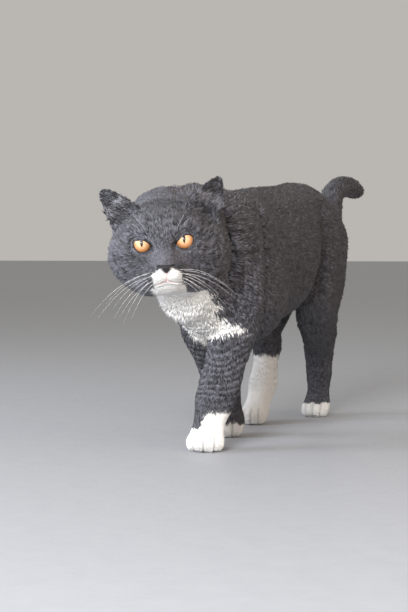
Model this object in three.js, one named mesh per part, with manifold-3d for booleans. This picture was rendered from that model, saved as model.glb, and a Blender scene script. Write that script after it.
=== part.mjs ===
// A British Shorthair tomcat, blue and white, caught in mid walk, at life size.
// Millimetres, +Z up. The cat walks towards -Y, and its left side is +X.
// The solids hold the outline of the coat. Each is a length of flesh made of rings: rays go out from a spine
// and stop where they leave a field, which is negative inside the cat and positive outside it.

import * as THREE from "three";
import { mergeVertices } from "three/addons/utils/BufferGeometryUtils.js";
import Module from "manifold-3d";

const wasm = await Module();
wasm.setup();

// ---- Driving dimensions -------------------------------------------------------------------------------------

const GAP = 0.3; // between neighbouring pieces

const EYES_MIDDLE = new THREE.Vector3(4, -290, 227); // between the two corneas
const HEAD_YAW = 21.7; // degrees, towards the cat's left
const HEAD_PITCH = 12; // degrees, nose down
const HEAD_ROLL = 5.4; // degrees, left side up
const EYE_SPACING = 44;
const EYEBALL_RADIUS = 11;
const EYE_DEPTH = 10.4; // from the cornea's front back to the ball's centre
const EYE_SPLAY = 6; // degrees that each eye looks outwards
const EYE_OPENING = { wide: 20, high: 14 };

const CHEEK_REACH = { left: 71, right: 63 }; // from the middle of the face; the left cheek is bunched by the turn
const EAR = { length: 41, width: 47, cup: 10, wall: 3.6, turn: 16 };
const EAR_LEAN = { left: 31, right: 37 }; // degrees outwards; the right ear is held lower
const EAR_ROOT = { left: 43.5, right: 36.5 }; // sideways from the middle of the head

const PAW_HEIGHT = 27; // from the floor to the wrist or ankle cut
const TOE_SPREAD = [-13, -4.6, 4.6, 13]; // sideways, on a paw 40 wide
const TOE_AHEAD = [9, 15, 15, 9]; // in front of the paw's middle

const TAIL_RADIUS = { root: 18.5, tip: 13.5 };
const TAIL_JOIN = 0.55; // share of the tail's length where its two pieces part

// ---- Fields ---------------------------------------------------------------------------------------------------

const at = (x, y, z) => new THREE.Vector3(x, y, z);
const radians = THREE.MathUtils.degToRad;
const DOWN = at(0, 0, -1);

// Turns in degrees about X, then Y, then Z.
function turned(x, y, z) {
  return new THREE.Quaternion().setFromEuler(new THREE.Euler(radians(x), radians(y), radians(z), "ZYX"));
}

function ellipsoid(centre, radii, turn = new THREE.Quaternion()) {
  const toOwn = new THREE.Matrix4().compose(centre, turn, at(1, 1, 1)).invert();
  const own = at(0, 0, 0);
  return (p) => {
    own.copy(p).applyMatrix4(toOwn).divide(radii);
    const outward = own.length();
    const slope = own.divide(radii).length();
    return (outward * (outward - 1)) / Math.max(slope, 1e-6);
  };
}

// A length of limb from a to b. flat is its width across X as a share of its depth.
function limb(a, radiusA, b, radiusB, flat = 1) {
  const along = b.clone().sub(a);
  const offset = at(0, 0, 0);
  return (p) => {
    offset.copy(p).sub(a);
    const share = THREE.MathUtils.clamp(offset.dot(along) / along.lengthSq(), 0, 1);
    offset.addScaledVector(along, -share);
    offset.x /= flat;
    return offset.length() - THREE.MathUtils.lerp(radiusA, radiusB, share);
  };
}

// Fields joined with a fillet about softness deep.
function blend(softness, ...fields) {
  return (p) => {
    const total = fields.reduce((sum, field) => sum + Math.exp(-field(p) / softness), 0);
    return -softness * Math.log(Math.max(total, 1e-300));
  };
}

const bothSides = (make) => [make(1), make(-1)];
const grown = (field, by) => (p) => field(p) - by;
const aboveFloor = (field) => (p) => Math.max(field(p), -p.z);

// ---- Rings ----------------------------------------------------------------------------------------------------

const RAY_STEP = 2.5;
const RAY_END = 160;
const BISECTIONS = 16;

function reach(field, from, direction) {
  const p = at(0, 0, 0);
  const value = (distance) => field(p.copy(direction).multiplyScalar(distance).add(from));
  let inside = 0;
  let outside = RAY_STEP;
  while (value(outside) < 0 && outside < RAY_END) {
    inside = outside;
    outside += RAY_STEP;
  }
  for (let i = 0; i < BISECTIONS; i++) {
    const middle = (inside + outside) / 2;
    [inside, outside] = value(middle) < 0 ? [middle, outside] : [inside, middle];
  }
  return outside;
}

// Rings between two shares of a spine's length, each square to a direction: the spine's own unless one is given.
// The two end rings stand in by half the gap.
function across(spine, from, to, count, direction) {
  return Array.from({ length: count }, (_, i) => {
    const share = THREE.MathUtils.lerp(from, to, i / (count - 1));
    const along = direction ?? spine.getTangentAt(share);
    const inset = i === 0 ? GAP / 2 : i === count - 1 ? -GAP / 2 : 0;
    return { centre: spine.getPointAt(share).addScaledVector(along, inset), along, lean: 0 };
  });
}

// Rings round one centre that lean over by the given angles, in degrees, towards its end.
const leaning = (centre, along, angles) => angles.map((lean) => ({ centre, along, lean }));

const evenly = (from, to, count) => Array.from({ length: count }, (_, i) => from + ((to - from) * i) / (count - 1));

// The closed mesh through the rings. An end is a flat cut, or a pole where the rays close over it.
function flesh(field, rings, sides, { poleAtStart = false, poleAtEnd = false } = {}) {
  const places = [];
  const faces = [];
  const left = at(1, 0, 0);
  for (const { centre, along, lean } of rings) {
    const u = left.clone().addScaledVector(along, -left.dot(along)).normalize();
    const w = along.clone().cross(u);
    for (let i = 0; i < sides; i++) {
      const angle = (2 * Math.PI * i) / sides;
      const direction = u.clone().multiplyScalar(Math.cos(angle)).addScaledVector(w, Math.sin(angle));
      direction.multiplyScalar(Math.cos(radians(lean))).addScaledVector(along, Math.sin(radians(lean)));
      places.push(centre.clone().addScaledVector(direction, reach(field, centre, direction)));
    }
  }
  const closing = (ring, pole, sign) => {
    const out = ring.along.clone().multiplyScalar(sign);
    return pole ? ring.centre.clone().addScaledVector(out, reach(field, ring.centre, out)) : ring.centre;
  };
  const last = rings.length - 1;
  const first = places.push(closing(rings[0], poleAtStart, -1)) - 1;
  const final = places.push(closing(rings[last], poleAtEnd, 1)) - 1;
  for (let i = 0; i < sides; i++) {
    const next = (i + 1) % sides;
    faces.push(first, next, i);
    faces.push(final, last * sides + i, last * sides + next);
    for (let ring = 0; ring < last; ring++) {
      const a = ring * sides + i;
      const b = ring * sides + next;
      faces.push(a, b, b + sides, a, b + sides, a + sides);
    }
  }
  return new THREE.BufferGeometry().setFromPoints(places).setIndex(faces);
}

// ---- Solids ---------------------------------------------------------------------------------------------------

function solidOf(geometry) {
  const bare = new THREE.BufferGeometry().setAttribute("position", geometry.getAttribute("position"));
  if (geometry.index) bare.setIndex(geometry.index);
  const merged = mergeVertices(bare, 1e-3);
  const vertProperties = new Float32Array(merged.attributes.position.array);
  const triVerts = new Uint32Array(merged.index.array);
  return new wasm.Manifold(new wasm.Mesh({ numProp: 3, vertProperties, triVerts }));
}

function geometryOf(solid) {
  const { vertProperties, triVerts } = solid.getMesh();
  return new THREE.BufferGeometry()
    .setAttribute("position", new THREE.BufferAttribute(vertProperties, 3))
    .setIndex(new THREE.BufferAttribute(triVerts, 1));
}

// A box whose one face passes through a place and looks along a normal, with all its bulk behind that face.
function blockBehind(place, normal, size = 400) {
  const block = new THREE.BoxGeometry(size, size, size).translate(0, 0, -size / 2);
  const turn = new THREE.Quaternion().setFromUnitVectors(at(0, 0, 1), normal);
  return solidOf(block.applyMatrix4(new THREE.Matrix4().compose(place, turn, at(1, 1, 1))));
}

// ---- Materials ------------------------------------------------------------------------------------------------

const finish = (color, roughness) => new THREE.MeshStandardMaterial({ color, roughness, metalness: 0 });
const blueCoat = finish("#4b4c53", 0.9);
const whiteCoat = finish("#e9e7e2", 0.9);
const noseLeather = finish("#35302f", 0.5);
const amberEye = finish("#dd9a55", 0.1);

const cat = new THREE.Group();

function addPiece(name, geometry, material) {
  const mesh = new THREE.Mesh(geometry, material);
  mesh.name = name;
  cat.add(mesh);
}

// ---- Head -----------------------------------------------------------------------------------------------------
// Its own frame has the eyes' middle as origin, the nose towards -Y and the crown towards +Z.

const headTurn = new THREE.Quaternion().setFromEuler(
  new THREE.Euler(radians(HEAD_PITCH), radians(-HEAD_ROLL), radians(HEAD_YAW), "ZXY"),
);
const inHead = (x, y, z) => at(x, y, z).applyQuaternion(headTurn).add(EYES_MIDDLE);
const headDirection = (x, y, z) => at(x, y, z).normalize().applyQuaternion(headTurn);
const headLump = (x, y, z, rx, ry, rz, turn = new THREE.Quaternion()) =>
  ellipsoid(inHead(x, y, z), at(rx, ry, rz), headTurn.clone().multiply(turn));

const skullCentre = inHead(0, 44, -6);
const headField = blend(
  5,
  headLump(0, 43, -6, 50, 48, 36), // braincase
  headLump(0, 30, 14, 33, 27, 18), // forehead
  headLump(CHEEK_REACH.left - 34, 38, -20, 32, 31, 38), // left cheek
  headLump(34 - CHEEK_REACH.right, 38, -18, 31, 30, 32), // right cheek
  ...bothSides((side) => headLump(side * 20, 30, -42, 20, 26, 15)), // jowls
  ...bothSides((side) => headLump(side * 22, 15, 12, 15, 12, 10)), // brows
  ...bothSides((side) => headLump(side * 24, 18, -14, 16, 12, 10)), // below the eyes
  limb(inHead(0, 6, 3), 7, inHead(0, -12, -19), 8), // bridge of the nose
  ...bothSides((side) => headLump(side * 10, -9, -30, 10, 11, 9)), // whisker pads
  headLump(0, 0, -41, 12, 12, 8), // chin
  headLump(0, 22, -40, 24, 26, 16), // throat under the jaw
);

// ---- Neck and trunk -------------------------------------------------------------------------------------------

const neckTop = inHead(0, 78, -8);
const trunkSpine = new THREE.CatmullRomCurve3([
  skullCentre,
  at(-16, -205, 234),
  at(-8, -160, 228),
  at(0, -90, 216),
  at(0, 0, 216),
  at(3, 80, 224),
  at(6, 140, 232),
  at(6, 162, 236),
]);
const HEAD_CUT = 0.105; // shares of the spine's length where the pieces part
const NECK_CUT = 0.24;

const trunkField = blend(
  8,
  limb(neckTop, 46, at(-3, -150, 232), 56), // neck
  ellipsoid(at(0, -85, 212), at(54, 88, 74)), // ribs
  ellipsoid(at(20, -78, 166), at(42, 66, 53)), // brisket between the elbows
  ellipsoid(at(2, 25, 213), at(61, 105, 82)), // belly
  ellipsoid(at(1, -25, 235), at(46, 86, 58)), // back behind the shoulders
  ellipsoid(at(3, 60, 238), at(46, 70, 60)), // loin
  ellipsoid(at(6, 133, 242), at(55, 92, 68)), // croup
  ellipsoid(at(44, 160, 224), at(24, 47, 44)), // left hip
  ellipsoid(at(-32, 150, 224), at(24, 48, 44)), // right hip
  ellipsoid(at(24, -112, 246), at(23, 46, 34)), // left shoulder blade
  ellipsoid(at(-30, -130, 258), at(28, 50, 39)), // right shoulder blade
  ellipsoid(at(-33, -197, 243), at(43, 42, 47)), // nape
  ellipsoid(at(-2, -158, 166), at(36, 34, 42)), // breast
  ellipsoid(at(-12, -190, 184), at(37, 33, 44)), // loose coat of the throat
);
const bodyField = blend(8, headField, trunkField);

// ---- Legs -----------------------------------------------------------------------------------------------------

// A paw whose toes point along yaw degrees from -Y, with its middle on the floor at the given place.
function pawField({ x, y, yaw, width, length }) {
  const turn = turned(0, 0, yaw);
  const own = (dx, dy, z) => at(dx, dy, 0).applyQuaternion(turn).add(at(x, y, z));
  const scale = width / 40;
  const toes = TOE_SPREAD.map((spread, i) =>
    ellipsoid(own(spread * scale, -TOE_AHEAD[i], 9), at(6.2 * scale, 11, 10.5), turn),
  );
  const sole = ellipsoid(own(0, length * 0.1, 11), at(width * 0.4, length * 0.42, 13), turn);
  return blend(1.8, sole, ...toes);
}

// For each leg: the joints from shoulder or hip to paw, the shares of that line where its pieces part,
// its masses of flesh, and its paw.
const legs = {
  fore_left: {
    joints: [
      at(38, -128, 218),
      at(33, -138, 170),
      at(21, -134, 128),
      at(16, -154, 82),
      at(11, -166, 44),
      at(10, -172, 28),
    ],
    cuts: [0.47, 0.83],
    masses: [
      ellipsoid(at(35, -128, 196), at(25, 34, 56), turned(-8, 0, 0)),
      limb(at(32, -138, 165), 30, at(22, -134, 128), 26, 0.85),
      limb(at(22, -134, 128), 25, at(16, -157, 72), 20),
      limb(at(16, -157, 72), 20, at(12, -165, 52), 18),
      limb(at(12, -165, 52), 18, at(8, -173, 26), 15.5),
    ],
    paw: { x: 8, y: -179, yaw: 14, width: 44, length: 46 },
  },
  fore_right: {
    joints: [
      at(-36, -118, 218),
      at(-35, -117, 170),
      at(-28, -99, 128),
      at(-22, -76, 82),
      at(-17, -55, 44),
      at(-15, -50, 28),
    ],
    cuts: [0.47, 0.83],
    masses: [
      ellipsoid(at(-33, -112, 196), at(23, 34, 56), turned(8, 0, 0)),
      limb(at(-34, -116, 165), 27, at(-28, -99, 128), 23, 0.85),
      limb(at(-28, -99, 128), 22, at(-18, -60, 56), 18),
      limb(at(-18, -60, 56), 17, at(-14, -46, 22), 15.5),
    ],
    paw: { x: -15, y: -50, yaw: 6, width: 38, length: 46 },
  },
  hind_left: {
    joints: [
      at(42, 145, 232),
      at(44, 148, 195),
      at(38, 156, 150),
      at(25, 188, 98),
      at(20, 205, 66),
      at(20, 202, 29),
    ],
    cuts: [0.5, 0.86],
    masses: [
      ellipsoid(at(42, 150, 200), at(25, 58, 66), turned(12, 0, 0)),
      ellipsoid(at(33, 142, 138), at(21, 40, 33)),
      limb(at(42, 112, 158), 28, at(29, 178, 111), 22, 0.8),
      limb(at(30, 172, 116), 21, at(21, 200, 84), 16),
      limb(at(21, 200, 88), 16, at(20, 206, 56), 13.5),
      limb(at(20, 206, 56), 13.5, at(19, 202, 20), 14),
    ],
    paw: { x: 20, y: 193, yaw: 4, width: 37, length: 44 },
  },
  hind_right: {
    joints: [
      at(-34, 120, 232),
      at(-36, 116, 195),
      at(-33, 120, 150),
      at(-28, 127, 102),
      at(-28, 120, 68),
      at(-29, 97, 29),
    ],
    cuts: [0.5, 0.86],
    masses: [
      ellipsoid(at(-34, 122, 208), at(28, 60, 62), turned(-5, 0, 0)),
      ellipsoid(at(-30, 161, 163), at(24, 53, 55)),
      limb(at(-38, 74, 158), 28, at(-27, 124, 104), 19, 0.8),
      limb(at(-27, 129, 100), 16.5, at(-27, 112, 50), 15.5),
      limb(at(-27, 112, 50), 16, at(-29, 94, 20), 14.5),
    ],
    paw: { x: -29, y: 80, yaw: 10, width: 35, length: 44 },
  },
};

// ---- Building -------------------------------------------------------------------------------------------------

const trunkRings = [
  ...across(trunkSpine, NECK_CUT, 1, 15),
  ...leaning(trunkSpine.getPointAt(1), trunkSpine.getTangentAt(1), [18, 36, 54, 72]),
];
const TRUNK_SIDES = 24;
const trunkMesh = (field) => flesh(field, trunkRings, TRUNK_SIDES, { poleAtEnd: true });
const neckMesh = (field) => flesh(field, across(trunkSpine, HEAD_CUT, NECK_CUT, 6), TRUNK_SIDES);
addPiece("trunk", trunkMesh(bodyField), blueCoat);
addPiece("neck", neckMesh(bodyField), blueCoat);
const trunkSpace = solidOf(trunkMesh(grown(bodyField, GAP)));
const neckSpace = solidOf(neckMesh(grown(bodyField, GAP)));

// The head's rings lie closer together towards the face, which is their end.
const HEAD_LEANS = [-60, -35, -15, 0, 12, 20, 27, 33, 39, 44, 49, 54, 59, 64, 69, 74, 79, 84];
const HEAD_SIDES = 34;
const cutPlace = trunkSpine.getPointAt(HEAD_CUT);
const cutNormal = trunkSpine.getTangentAt(HEAD_CUT);
const headEnd = cutPlace.clone().addScaledVector(cutNormal, -GAP / 2);
const justPastCut = (p) => p.clone().sub(cutPlace).dot(cutNormal) - 4;
const faceAlong = headDirection(0, -1, -0.12);
const headRings = leaning(skullCentre, faceAlong, HEAD_LEANS);
const bothPoles = { poleAtStart: true, poleAtEnd: true };
const headMesh = (by) =>
  flesh((p) => Math.max(bodyField(p) - by, justPastCut(p)), headRings, HEAD_SIDES, bothPoles);
const behindCut = blockBehind(headEnd, cutNormal.clone().negate());

const eyePlace = (side) => inHead((side * EYE_SPACING) / 2, EYE_DEPTH, 0);
const eyeTurn = (side) => headTurn.clone().multiply(turned(0, 0, side * EYE_SPLAY));

// A ball of the given radii, set where the eye is and turned the way it looks.
function inSocket(side, rx, ry, rz) {
  const ball = new THREE.SphereGeometry(1, 14, 8);
  return ball.applyMatrix4(new THREE.Matrix4().compose(eyePlace(side), eyeTurn(side), at(rx, ry, rz)));
}

let head = solidOf(headMesh(0)).subtract(behindCut);
for (const side of [1, -1]) {
  const socket = EYEBALL_RADIUS + GAP;
  head = head.subtract(solidOf(inSocket(side, socket, socket, socket)));
  head = head.subtract(solidOf(inSocket(side, EYE_OPENING.wide / 2, 2 * socket, EYE_OPENING.high / 2)));
  const ball = inSocket(side, EYEBALL_RADIUS, EYEBALL_RADIUS, EYEBALL_RADIUS);
  addPiece(side > 0 ? "eye_left" : "eye_right", ball, amberEye);
}
addPiece("head", geometryOf(head), blueCoat);

// ---- Ears and nose --------------------------------------------------------------------------------------------

const headSpace = solidOf(headMesh(GAP)).subtract(blockBehind(cutPlace, cutNormal.clone().negate()));

// A cupped leaf that opens forwards. Its rows climb from the root to a rounded tip, and each is a crescent.
function earLeaf() {
  const rows = 8;
  const columns = 9;
  const places = [];
  const faces = [];
  for (let row = 0; row <= rows; row++) {
    const climb = row / (rows + 0.35);
    const halfWidth = (EAR.width / 2) * Math.pow(1 - Math.pow(climb, 1.7), 0.75);
    const cup = EAR.cup * (1 - 0.75 * climb);
    for (let i = 0; i < 2 * columns; i++) {
      const back = i >= columns;
      const share = back ? 1 - (2 * (i - columns) + 1) / columns : -1 + (2 * i + 1) / columns;
      const bow = 1 - share * share;
      const wall = back ? EAR.wall * (0.4 + 0.6 * bow) : 0;
      const side = share * halfWidth;
      places.push(at(side, cup * bow + wall - EAR.cup * 0.5, (EAR.length + 14) * climb - 14));
    }
  }
  const around = 2 * columns;
  for (let i = 0; i < around; i++) {
    const next = (i + 1) % around;
    for (let row = 0; row < rows; row++) {
      const a = row * around + i;
      const b = row * around + next;
      faces.push(a, b, b + around, a, b + around, a + around);
    }
  }
  for (const [row, flip] of [[0, true], [rows, false]]) {
    for (let i = 0; i < columns - 1; i++) {
      const a = row * around + i;
      const b = a + 1;
      const c = row * around + around - 1 - i;
      const d = c - 1;
      faces.push(...(flip ? [a, d, b, a, c, d] : [a, b, d, a, d, c]));
    }
  }
  return new THREE.BufferGeometry().setFromPoints(places).setIndex(faces);
}

for (const [name, side] of Object.entries({ left: 1, right: -1 })) {
  const turn = headTurn.clone().multiply(turned(0, side * EAR_LEAN[name], side * EAR.turn));
  const root = inHead(side * EAR_ROOT[name], 34, 24.5);
  const leaf = earLeaf().applyMatrix4(new THREE.Matrix4().compose(root, turn, at(1, 1, 1)));
  addPiece("ear_" + name, geometryOf(solidOf(leaf).subtract(headSpace)), blueCoat);
}

const noseField = blend(
  1,
  ...bothSides((side) => headLump(side * 4.6, -19, -20.5, 4.6, 5, 3)),
  headLump(0, -19, -23.5, 3.6, 5, 3.4),
);
const noseRings = leaning(inHead(0, -19, -21.5), headDirection(0, -1, 0), [-60, -25, 5, 30, 50, 70]);
const noseMesh = flesh(noseField, noseRings, 16, bothPoles);
addPiece("nose", geometryOf(solidOf(noseMesh).subtract(headSpace)), noseLeather);

// ---- Tail -----------------------------------------------------------------------------------------------------

const tailSpine = new THREE.CatmullRomCurve3([
  at(8, 186, 268),
  at(16, 222, 259),
  at(19, 250, 258),
  at(16, 269, 272),
  at(12, 282, 290),
  at(12, 298, 305),
  at(17, 321, 313),
  at(23, 348, 312),
  at(24, 369, 308),
]);
const tailStops = evenly(0, 1, 9).map((share) => tailSpine.getPointAt(share));
const tailRadius = (i) => THREE.MathUtils.lerp(TAIL_RADIUS.root, TAIL_RADIUS.tip, i / (tailStops.length - 1));
const tailField = blend(
  2,
  ...tailStops.slice(1).map((stop, i) => limb(tailStops[i], tailRadius(i), stop, tailRadius(i + 1))),
);
const tailBase = solidOf(flesh(tailField, across(tailSpine, 0.01, TAIL_JOIN, 9), 14)).subtract(trunkSpace);
addPiece("tail_base", geometryOf(tailBase), blueCoat);
const tailEndRings = [
  ...across(tailSpine, TAIL_JOIN, 1, 8),
  ...leaning(tailSpine.getPointAt(1), tailSpine.getTangentAt(1), [22, 45, 68]),
];
addPiece("tail_end", flesh(tailField, tailEndRings, 14, { poleAtEnd: true }), blueCoat);

// ---- Limbs ----------------------------------------------------------------------------------------------------

for (const [name, leg] of Object.entries(legs)) {
  const spine = new THREE.CatmullRomCurve3(leg.joints);
  const field = aboveFloor(blend(5, ...leg.masses, pawField(leg.paw)));
  const [middle, wrist] = leg.cuts;
  const hind = name.startsWith("hind");
  const parts = [
    [hind ? "thigh" : "upper_arm", across(spine, 0.02, middle, hind ? 8 : 9, DOWN), hind ? 22 : 16],
    [hind ? "shank" : "forearm", across(spine, middle, wrist, 8, DOWN), 16],
  ];
  for (const [part, rings, sides] of parts) {
    const made = solidOf(flesh(field, rings, sides)).subtract(trunkSpace).subtract(neckSpace);
    addPiece(name + "_" + part, geometryOf(made), blueCoat);
  }
  const pawRings = [
    ...across(spine, wrist, 1, 4, DOWN),
    ...leaning(at(leg.paw.x, leg.paw.y, PAW_HEIGHT / 2), DOWN, [-20, -8, 2, 12, 24, 40, 62]),
  ];
  addPiece(name + "_paw", flesh(field, pawRings, 20, { poleAtEnd: true }), whiteCoat);
}

// The origin is the middle of the base of the box round the whole cat.
const extent = new THREE.Box3().setFromObject(cat, true);
const boxMiddle = extent.getCenter(at(0, 0, 0));
cat.position.set(-boxMiddle.x, -boxMiddle.y, -extent.min.z);

export default cat;
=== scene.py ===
"""A blue and white British Shorthair tom in mid-walk, as a life-size still model.

One closed skin takes the place of the body's solids and lies inside them by the depth of the coat.
The coat is laid over it in solid tufts, each a thin closed kite that leans along the lie of the hair.
Eyes, lid rims, nose leather, whiskers and brow hairs are pieces of their own.
Lengths are millimetres in the row frame or the head's own, and turn into metres as a mesh is made.
"""

import heapq
import math

import bmesh
import bpy
import numpy as np
import openvdb
from mathutils import Matrix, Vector
from mathutils.bvhtree import BVHTree
from mathutils.kdtree import KDTree


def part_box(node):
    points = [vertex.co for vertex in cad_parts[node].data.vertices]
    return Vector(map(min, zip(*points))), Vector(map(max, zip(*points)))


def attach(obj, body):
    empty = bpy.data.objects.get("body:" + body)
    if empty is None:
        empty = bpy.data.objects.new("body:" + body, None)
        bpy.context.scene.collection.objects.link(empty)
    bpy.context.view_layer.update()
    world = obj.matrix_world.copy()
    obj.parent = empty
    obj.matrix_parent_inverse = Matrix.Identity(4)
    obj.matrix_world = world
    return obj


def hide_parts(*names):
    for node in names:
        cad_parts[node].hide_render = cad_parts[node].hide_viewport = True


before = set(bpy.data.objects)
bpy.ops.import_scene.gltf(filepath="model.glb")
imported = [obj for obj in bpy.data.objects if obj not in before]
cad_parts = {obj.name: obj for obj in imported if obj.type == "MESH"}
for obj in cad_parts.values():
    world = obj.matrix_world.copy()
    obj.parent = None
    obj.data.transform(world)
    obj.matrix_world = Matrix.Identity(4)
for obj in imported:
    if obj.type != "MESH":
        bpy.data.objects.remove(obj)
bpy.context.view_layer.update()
MM = 0.001

# ------------------------------------------------------------------ driving sizes, mm and degrees

HEAD_YAW = 21.7
HEAD_PITCH = 12.0
HEAD_ROLL = 5.4
SIDES = {"left": 1.0, "right": -1.0}

EYE_DEPTH = 10.4            # from the front of the corneas back to the middle of the balls
EYEBALL_RADIUS = 11.0
CORNEA_BULGE = 1.0
GAZE_UP = 20.0              # the eyes look up by this against the lowered head
IRIS_RADIUS = 9.6
IRIS_EDGE = 0.9             # width of the dark ring round the iris
PUPIL_HALF = (1.7, 5.2)     # half width and half height of the slit
LID_THICKNESS = 1.3
LID_CREASE = 3.2            # from the lids' edge to the crease round them
LID_RIM = 0.32              # radius of the moist rim along the lids' edge, where it is thinnest
LID_RIM_SIDES = 8
# The opening of each eye's lids, outward and up from the ball's axis, outer corner first.
LID_OPENINGS = {
    "left": ((8.9, 4.4), (5.7, 7.0), (1.7, 7.2), (-3.6, 4.9), (-8.9, -1.6),
             (-5.5, -5.0), (-1.7, -6.9), (2.9, -6.8), (7.2, -3.7), (9.0, 0.8)),
    "right": ((7.4, 5.6), (0.4, 6.2), (-4.5, 4.6), (-7.7, 1.3), (-9.0, -2.8),
              (-6.5, -5.1), (-2.4, -6.8), (2.1, -6.6), (5.9, -4.0), (8.2, 0.3)),
}

MIDLINE = 1.5               # the nose and lips stand this far to the left of the head's middle plane
NOSE_TOP = -17.8            # upper edge of the nose leather, in the head frame
NOSE_POINT = -26.5          # its lower point
NOSE_HALF_WIDTH = 8.6
NOSE_FRONT = -24.3          # how far forward its face comes at the nostrils
NOSE_BACK = -13.0           # the leather ends here, inside the muzzle
# Each nostril is a pit and a slit outward from it: middle, counted from the midline, and radii.
NOSTRIL_PIT = ((3.9, -24.5, -21.4), (1.3, 2.4, 0.9))
NOSTRIL_SLIT = ((6.0, -23.1, -20.6), (2.2, 2.2, 0.5))
NOSE_CELL = 0.35            # size of the cells that the nose leather is drawn in
MOUTH_HEIGHT = -34.0        # of the line between the lips at its middle
MOUTH_HALF_WIDTH = 13.0
MOUTH_DROP = 5.2            # from its middle to its corners
EAR_ROOT = {"left": 43.5, "right": 36.5}
EAR_LEAN = {"left": 31.0, "right": 37.0}
EAR_FOOT = 24.5             # height of the ears' roots, in the head frame

SKIN_VOXEL = 2.75
SEAM_GROWTH = 0.55          # each solid grows by this so that the gap to its neighbour closes
# Middles in the head frame, and the reach within which the skin is made twice as fine.
FACE_MIDDLE = (0, -5, -12)
FACE_REACH = 50.0
EAR_MIDDLE = (12, 34, 42)   # from the ear's root
EAR_REACH = 34.0
EYE_MIDDLE = 22             # outward
EYE_REACH = 15.0
MOUTH_MIDDLE = (MIDLINE, -16, -30)
MOUTH_REACH = 15.0
PAW_HEIGHT = 8              # a paw's middle above the floor
PAW_REACH = 27.0

WHISKER_ROWS = 4
WHISKERS_IN_ROW = 2
WHISKER_THICKNESS = 0.21
BROW_HAIRS = 2
BROW_THICKNESS = 0.1
BRISTLE_SIDES = 6
BRISTLE_STEPS = 14

# Each part's coat: length and width of a tuft, the angle it stands at, how strongly tufts gather,
# and how strongly the coat ripples across its lie.
COAT = {
    "head": (6.0, 0.8, 24.0, 0.3, 0.15),
    "nose": (3.0, 0.55, 12.0, 0.0, 0.0),
    "ear": (3.4, 0.55, 11.0, 0.1, 0.0),
    "eye": (3.0, 0.55, 12.0, 0.0, 0.0),
    "neck": (11.0, 1.1, 26.0, 0.5, 1.1),
    "trunk": (10.0, 1.0, 18.0, 0.35, 0.35),
    "tail": (9.0, 1.0, 24.0, 0.4, 0.3),
    "upper_arm": (9.0, 1.0, 21.0, 0.45, 1.2),
    "forearm": (6.5, 0.8, 21.0, 0.45, 1.4),
    "thigh": (9.5, 1.0, 18.0, 0.35, 0.35),
    "shank": (7.0, 0.8, 19.0, 0.4, 0.6),
    "paw": (3.5, 0.6, 14.0, 0.2, 0.3),
}
# The same five for the face, at the nose, and what they grow by out to the cheeks and the crown.
FACE_COAT = (2.2, 0.4, 12.0, 0.15, 0.0)
FACE_COAT_GROWTH = (6.0, 0.45, 14.0, 0.25, 0.15)
BESIDE_NOSE = (1.4, 8.0)    # length and angle of the tufts beside the nose leather
ROUND_LIDS = (1.7, 0.42)    # length and width of the tufts round the lids
IN_THE_EARS = (3.5, 9.0)    # how much longer and steeper the tufts inside the ears are
BLUE_TONE = 0.45            # from 0 to 1, before the shade of the place and of the tuft
WHITE_TONE = 0.48
TUFTS_IN_LOCK = 6
TUFT_MIDDLE = 0.48          # where along a tuft its broad middle is
TUFT_BEND = 9.0             # a tuft's root half stands steeper than the whole by this
TUFT_AREA = 0.55            # a tuft's area, as a share of its length times its width
COAT_LAYERS = 3.6           # how many tufts lie over any spot of the skin
ROOT_DEPTH = 0.5            # roots stand this deep in the skin
RIPPLE = 7.5                # from one ripple of the coat to the next
TUFTS_IN_PIECE = 49000      # keeps a piece under 200,000 triangles
BAKE_PATCH = 0.003          # the side of each tuft's patch on the bake map
FLOOR_GAP = 0.15            # no tuft comes nearer to the floor

# Height up to which each leg is white.
SOCK_TOP = {"fore_left": 44.5, "fore_right": 18.0, "hind_left": 20.0, "hind_right": 90.0}
SOCK_DIP = 18.0             # the left fore sock ends this much lower on its inner side
# The white bib as seen from the front: across and up.
BIB_OUTLINE = (
    (20, 200), (25, 178), (27, 166), (27, 152), (39, 143), (50, 137), (40, 131), (11, 123), (-13, 114),
    (-26, 122), (-35, 133), (-40, 150), (-42, 172), (-38, 200), (-15, 222),
)
BIB_BACK = -150.0           # the bib is on what lies in front of this
SHOULDERS = (-190, -100)    # the coat of the head and neck gives way to that of the body between these

# Each paw's middle on the floor, the way its toes turn, and its width.
PAWS = {
    "fore_left": (12.3, -215.8, 14.0, 44.0), "fore_right": (-10.7, -86.8, 6.0, 38.0),
    "hind_left": (24.3, 156.2, 4.0, 37.0), "hind_right": (-24.7, 43.2, 10.0, 35.0),
}
TOES_APART = 8.8            # from one cleft between toes to the next, on a paw 40 wide

# Folds of loose skin: points along the fold, then its depth and half width.
FOLDS = (
    # behind the left cheek
    (((34, -222, 276), (42, -227, 247), (46, -225, 218), (40, -217, 190)), 5.0, 6.0),
    # behind the left shoulder and the right
    (((40, -145, 278), (59, -158, 242), (64, -160, 201), (63, -164, 164)), 2.8, 9.0),
    (((-30, -120, 285), (-56, -128, 245), (-58, -126, 201), (-52, -120, 168)), 3.0, 8.0),
    # before the left thigh and the right
    (((57, 72, 276), (63, 56, 245), (61, 57, 209), (56, 55, 174)), 3.0, 13.0),
    (((-44, 50, 276), (-58, 36, 240), (-58, 30, 205), (-50, 26, 174)), 3.0, 13.0),
)

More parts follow.
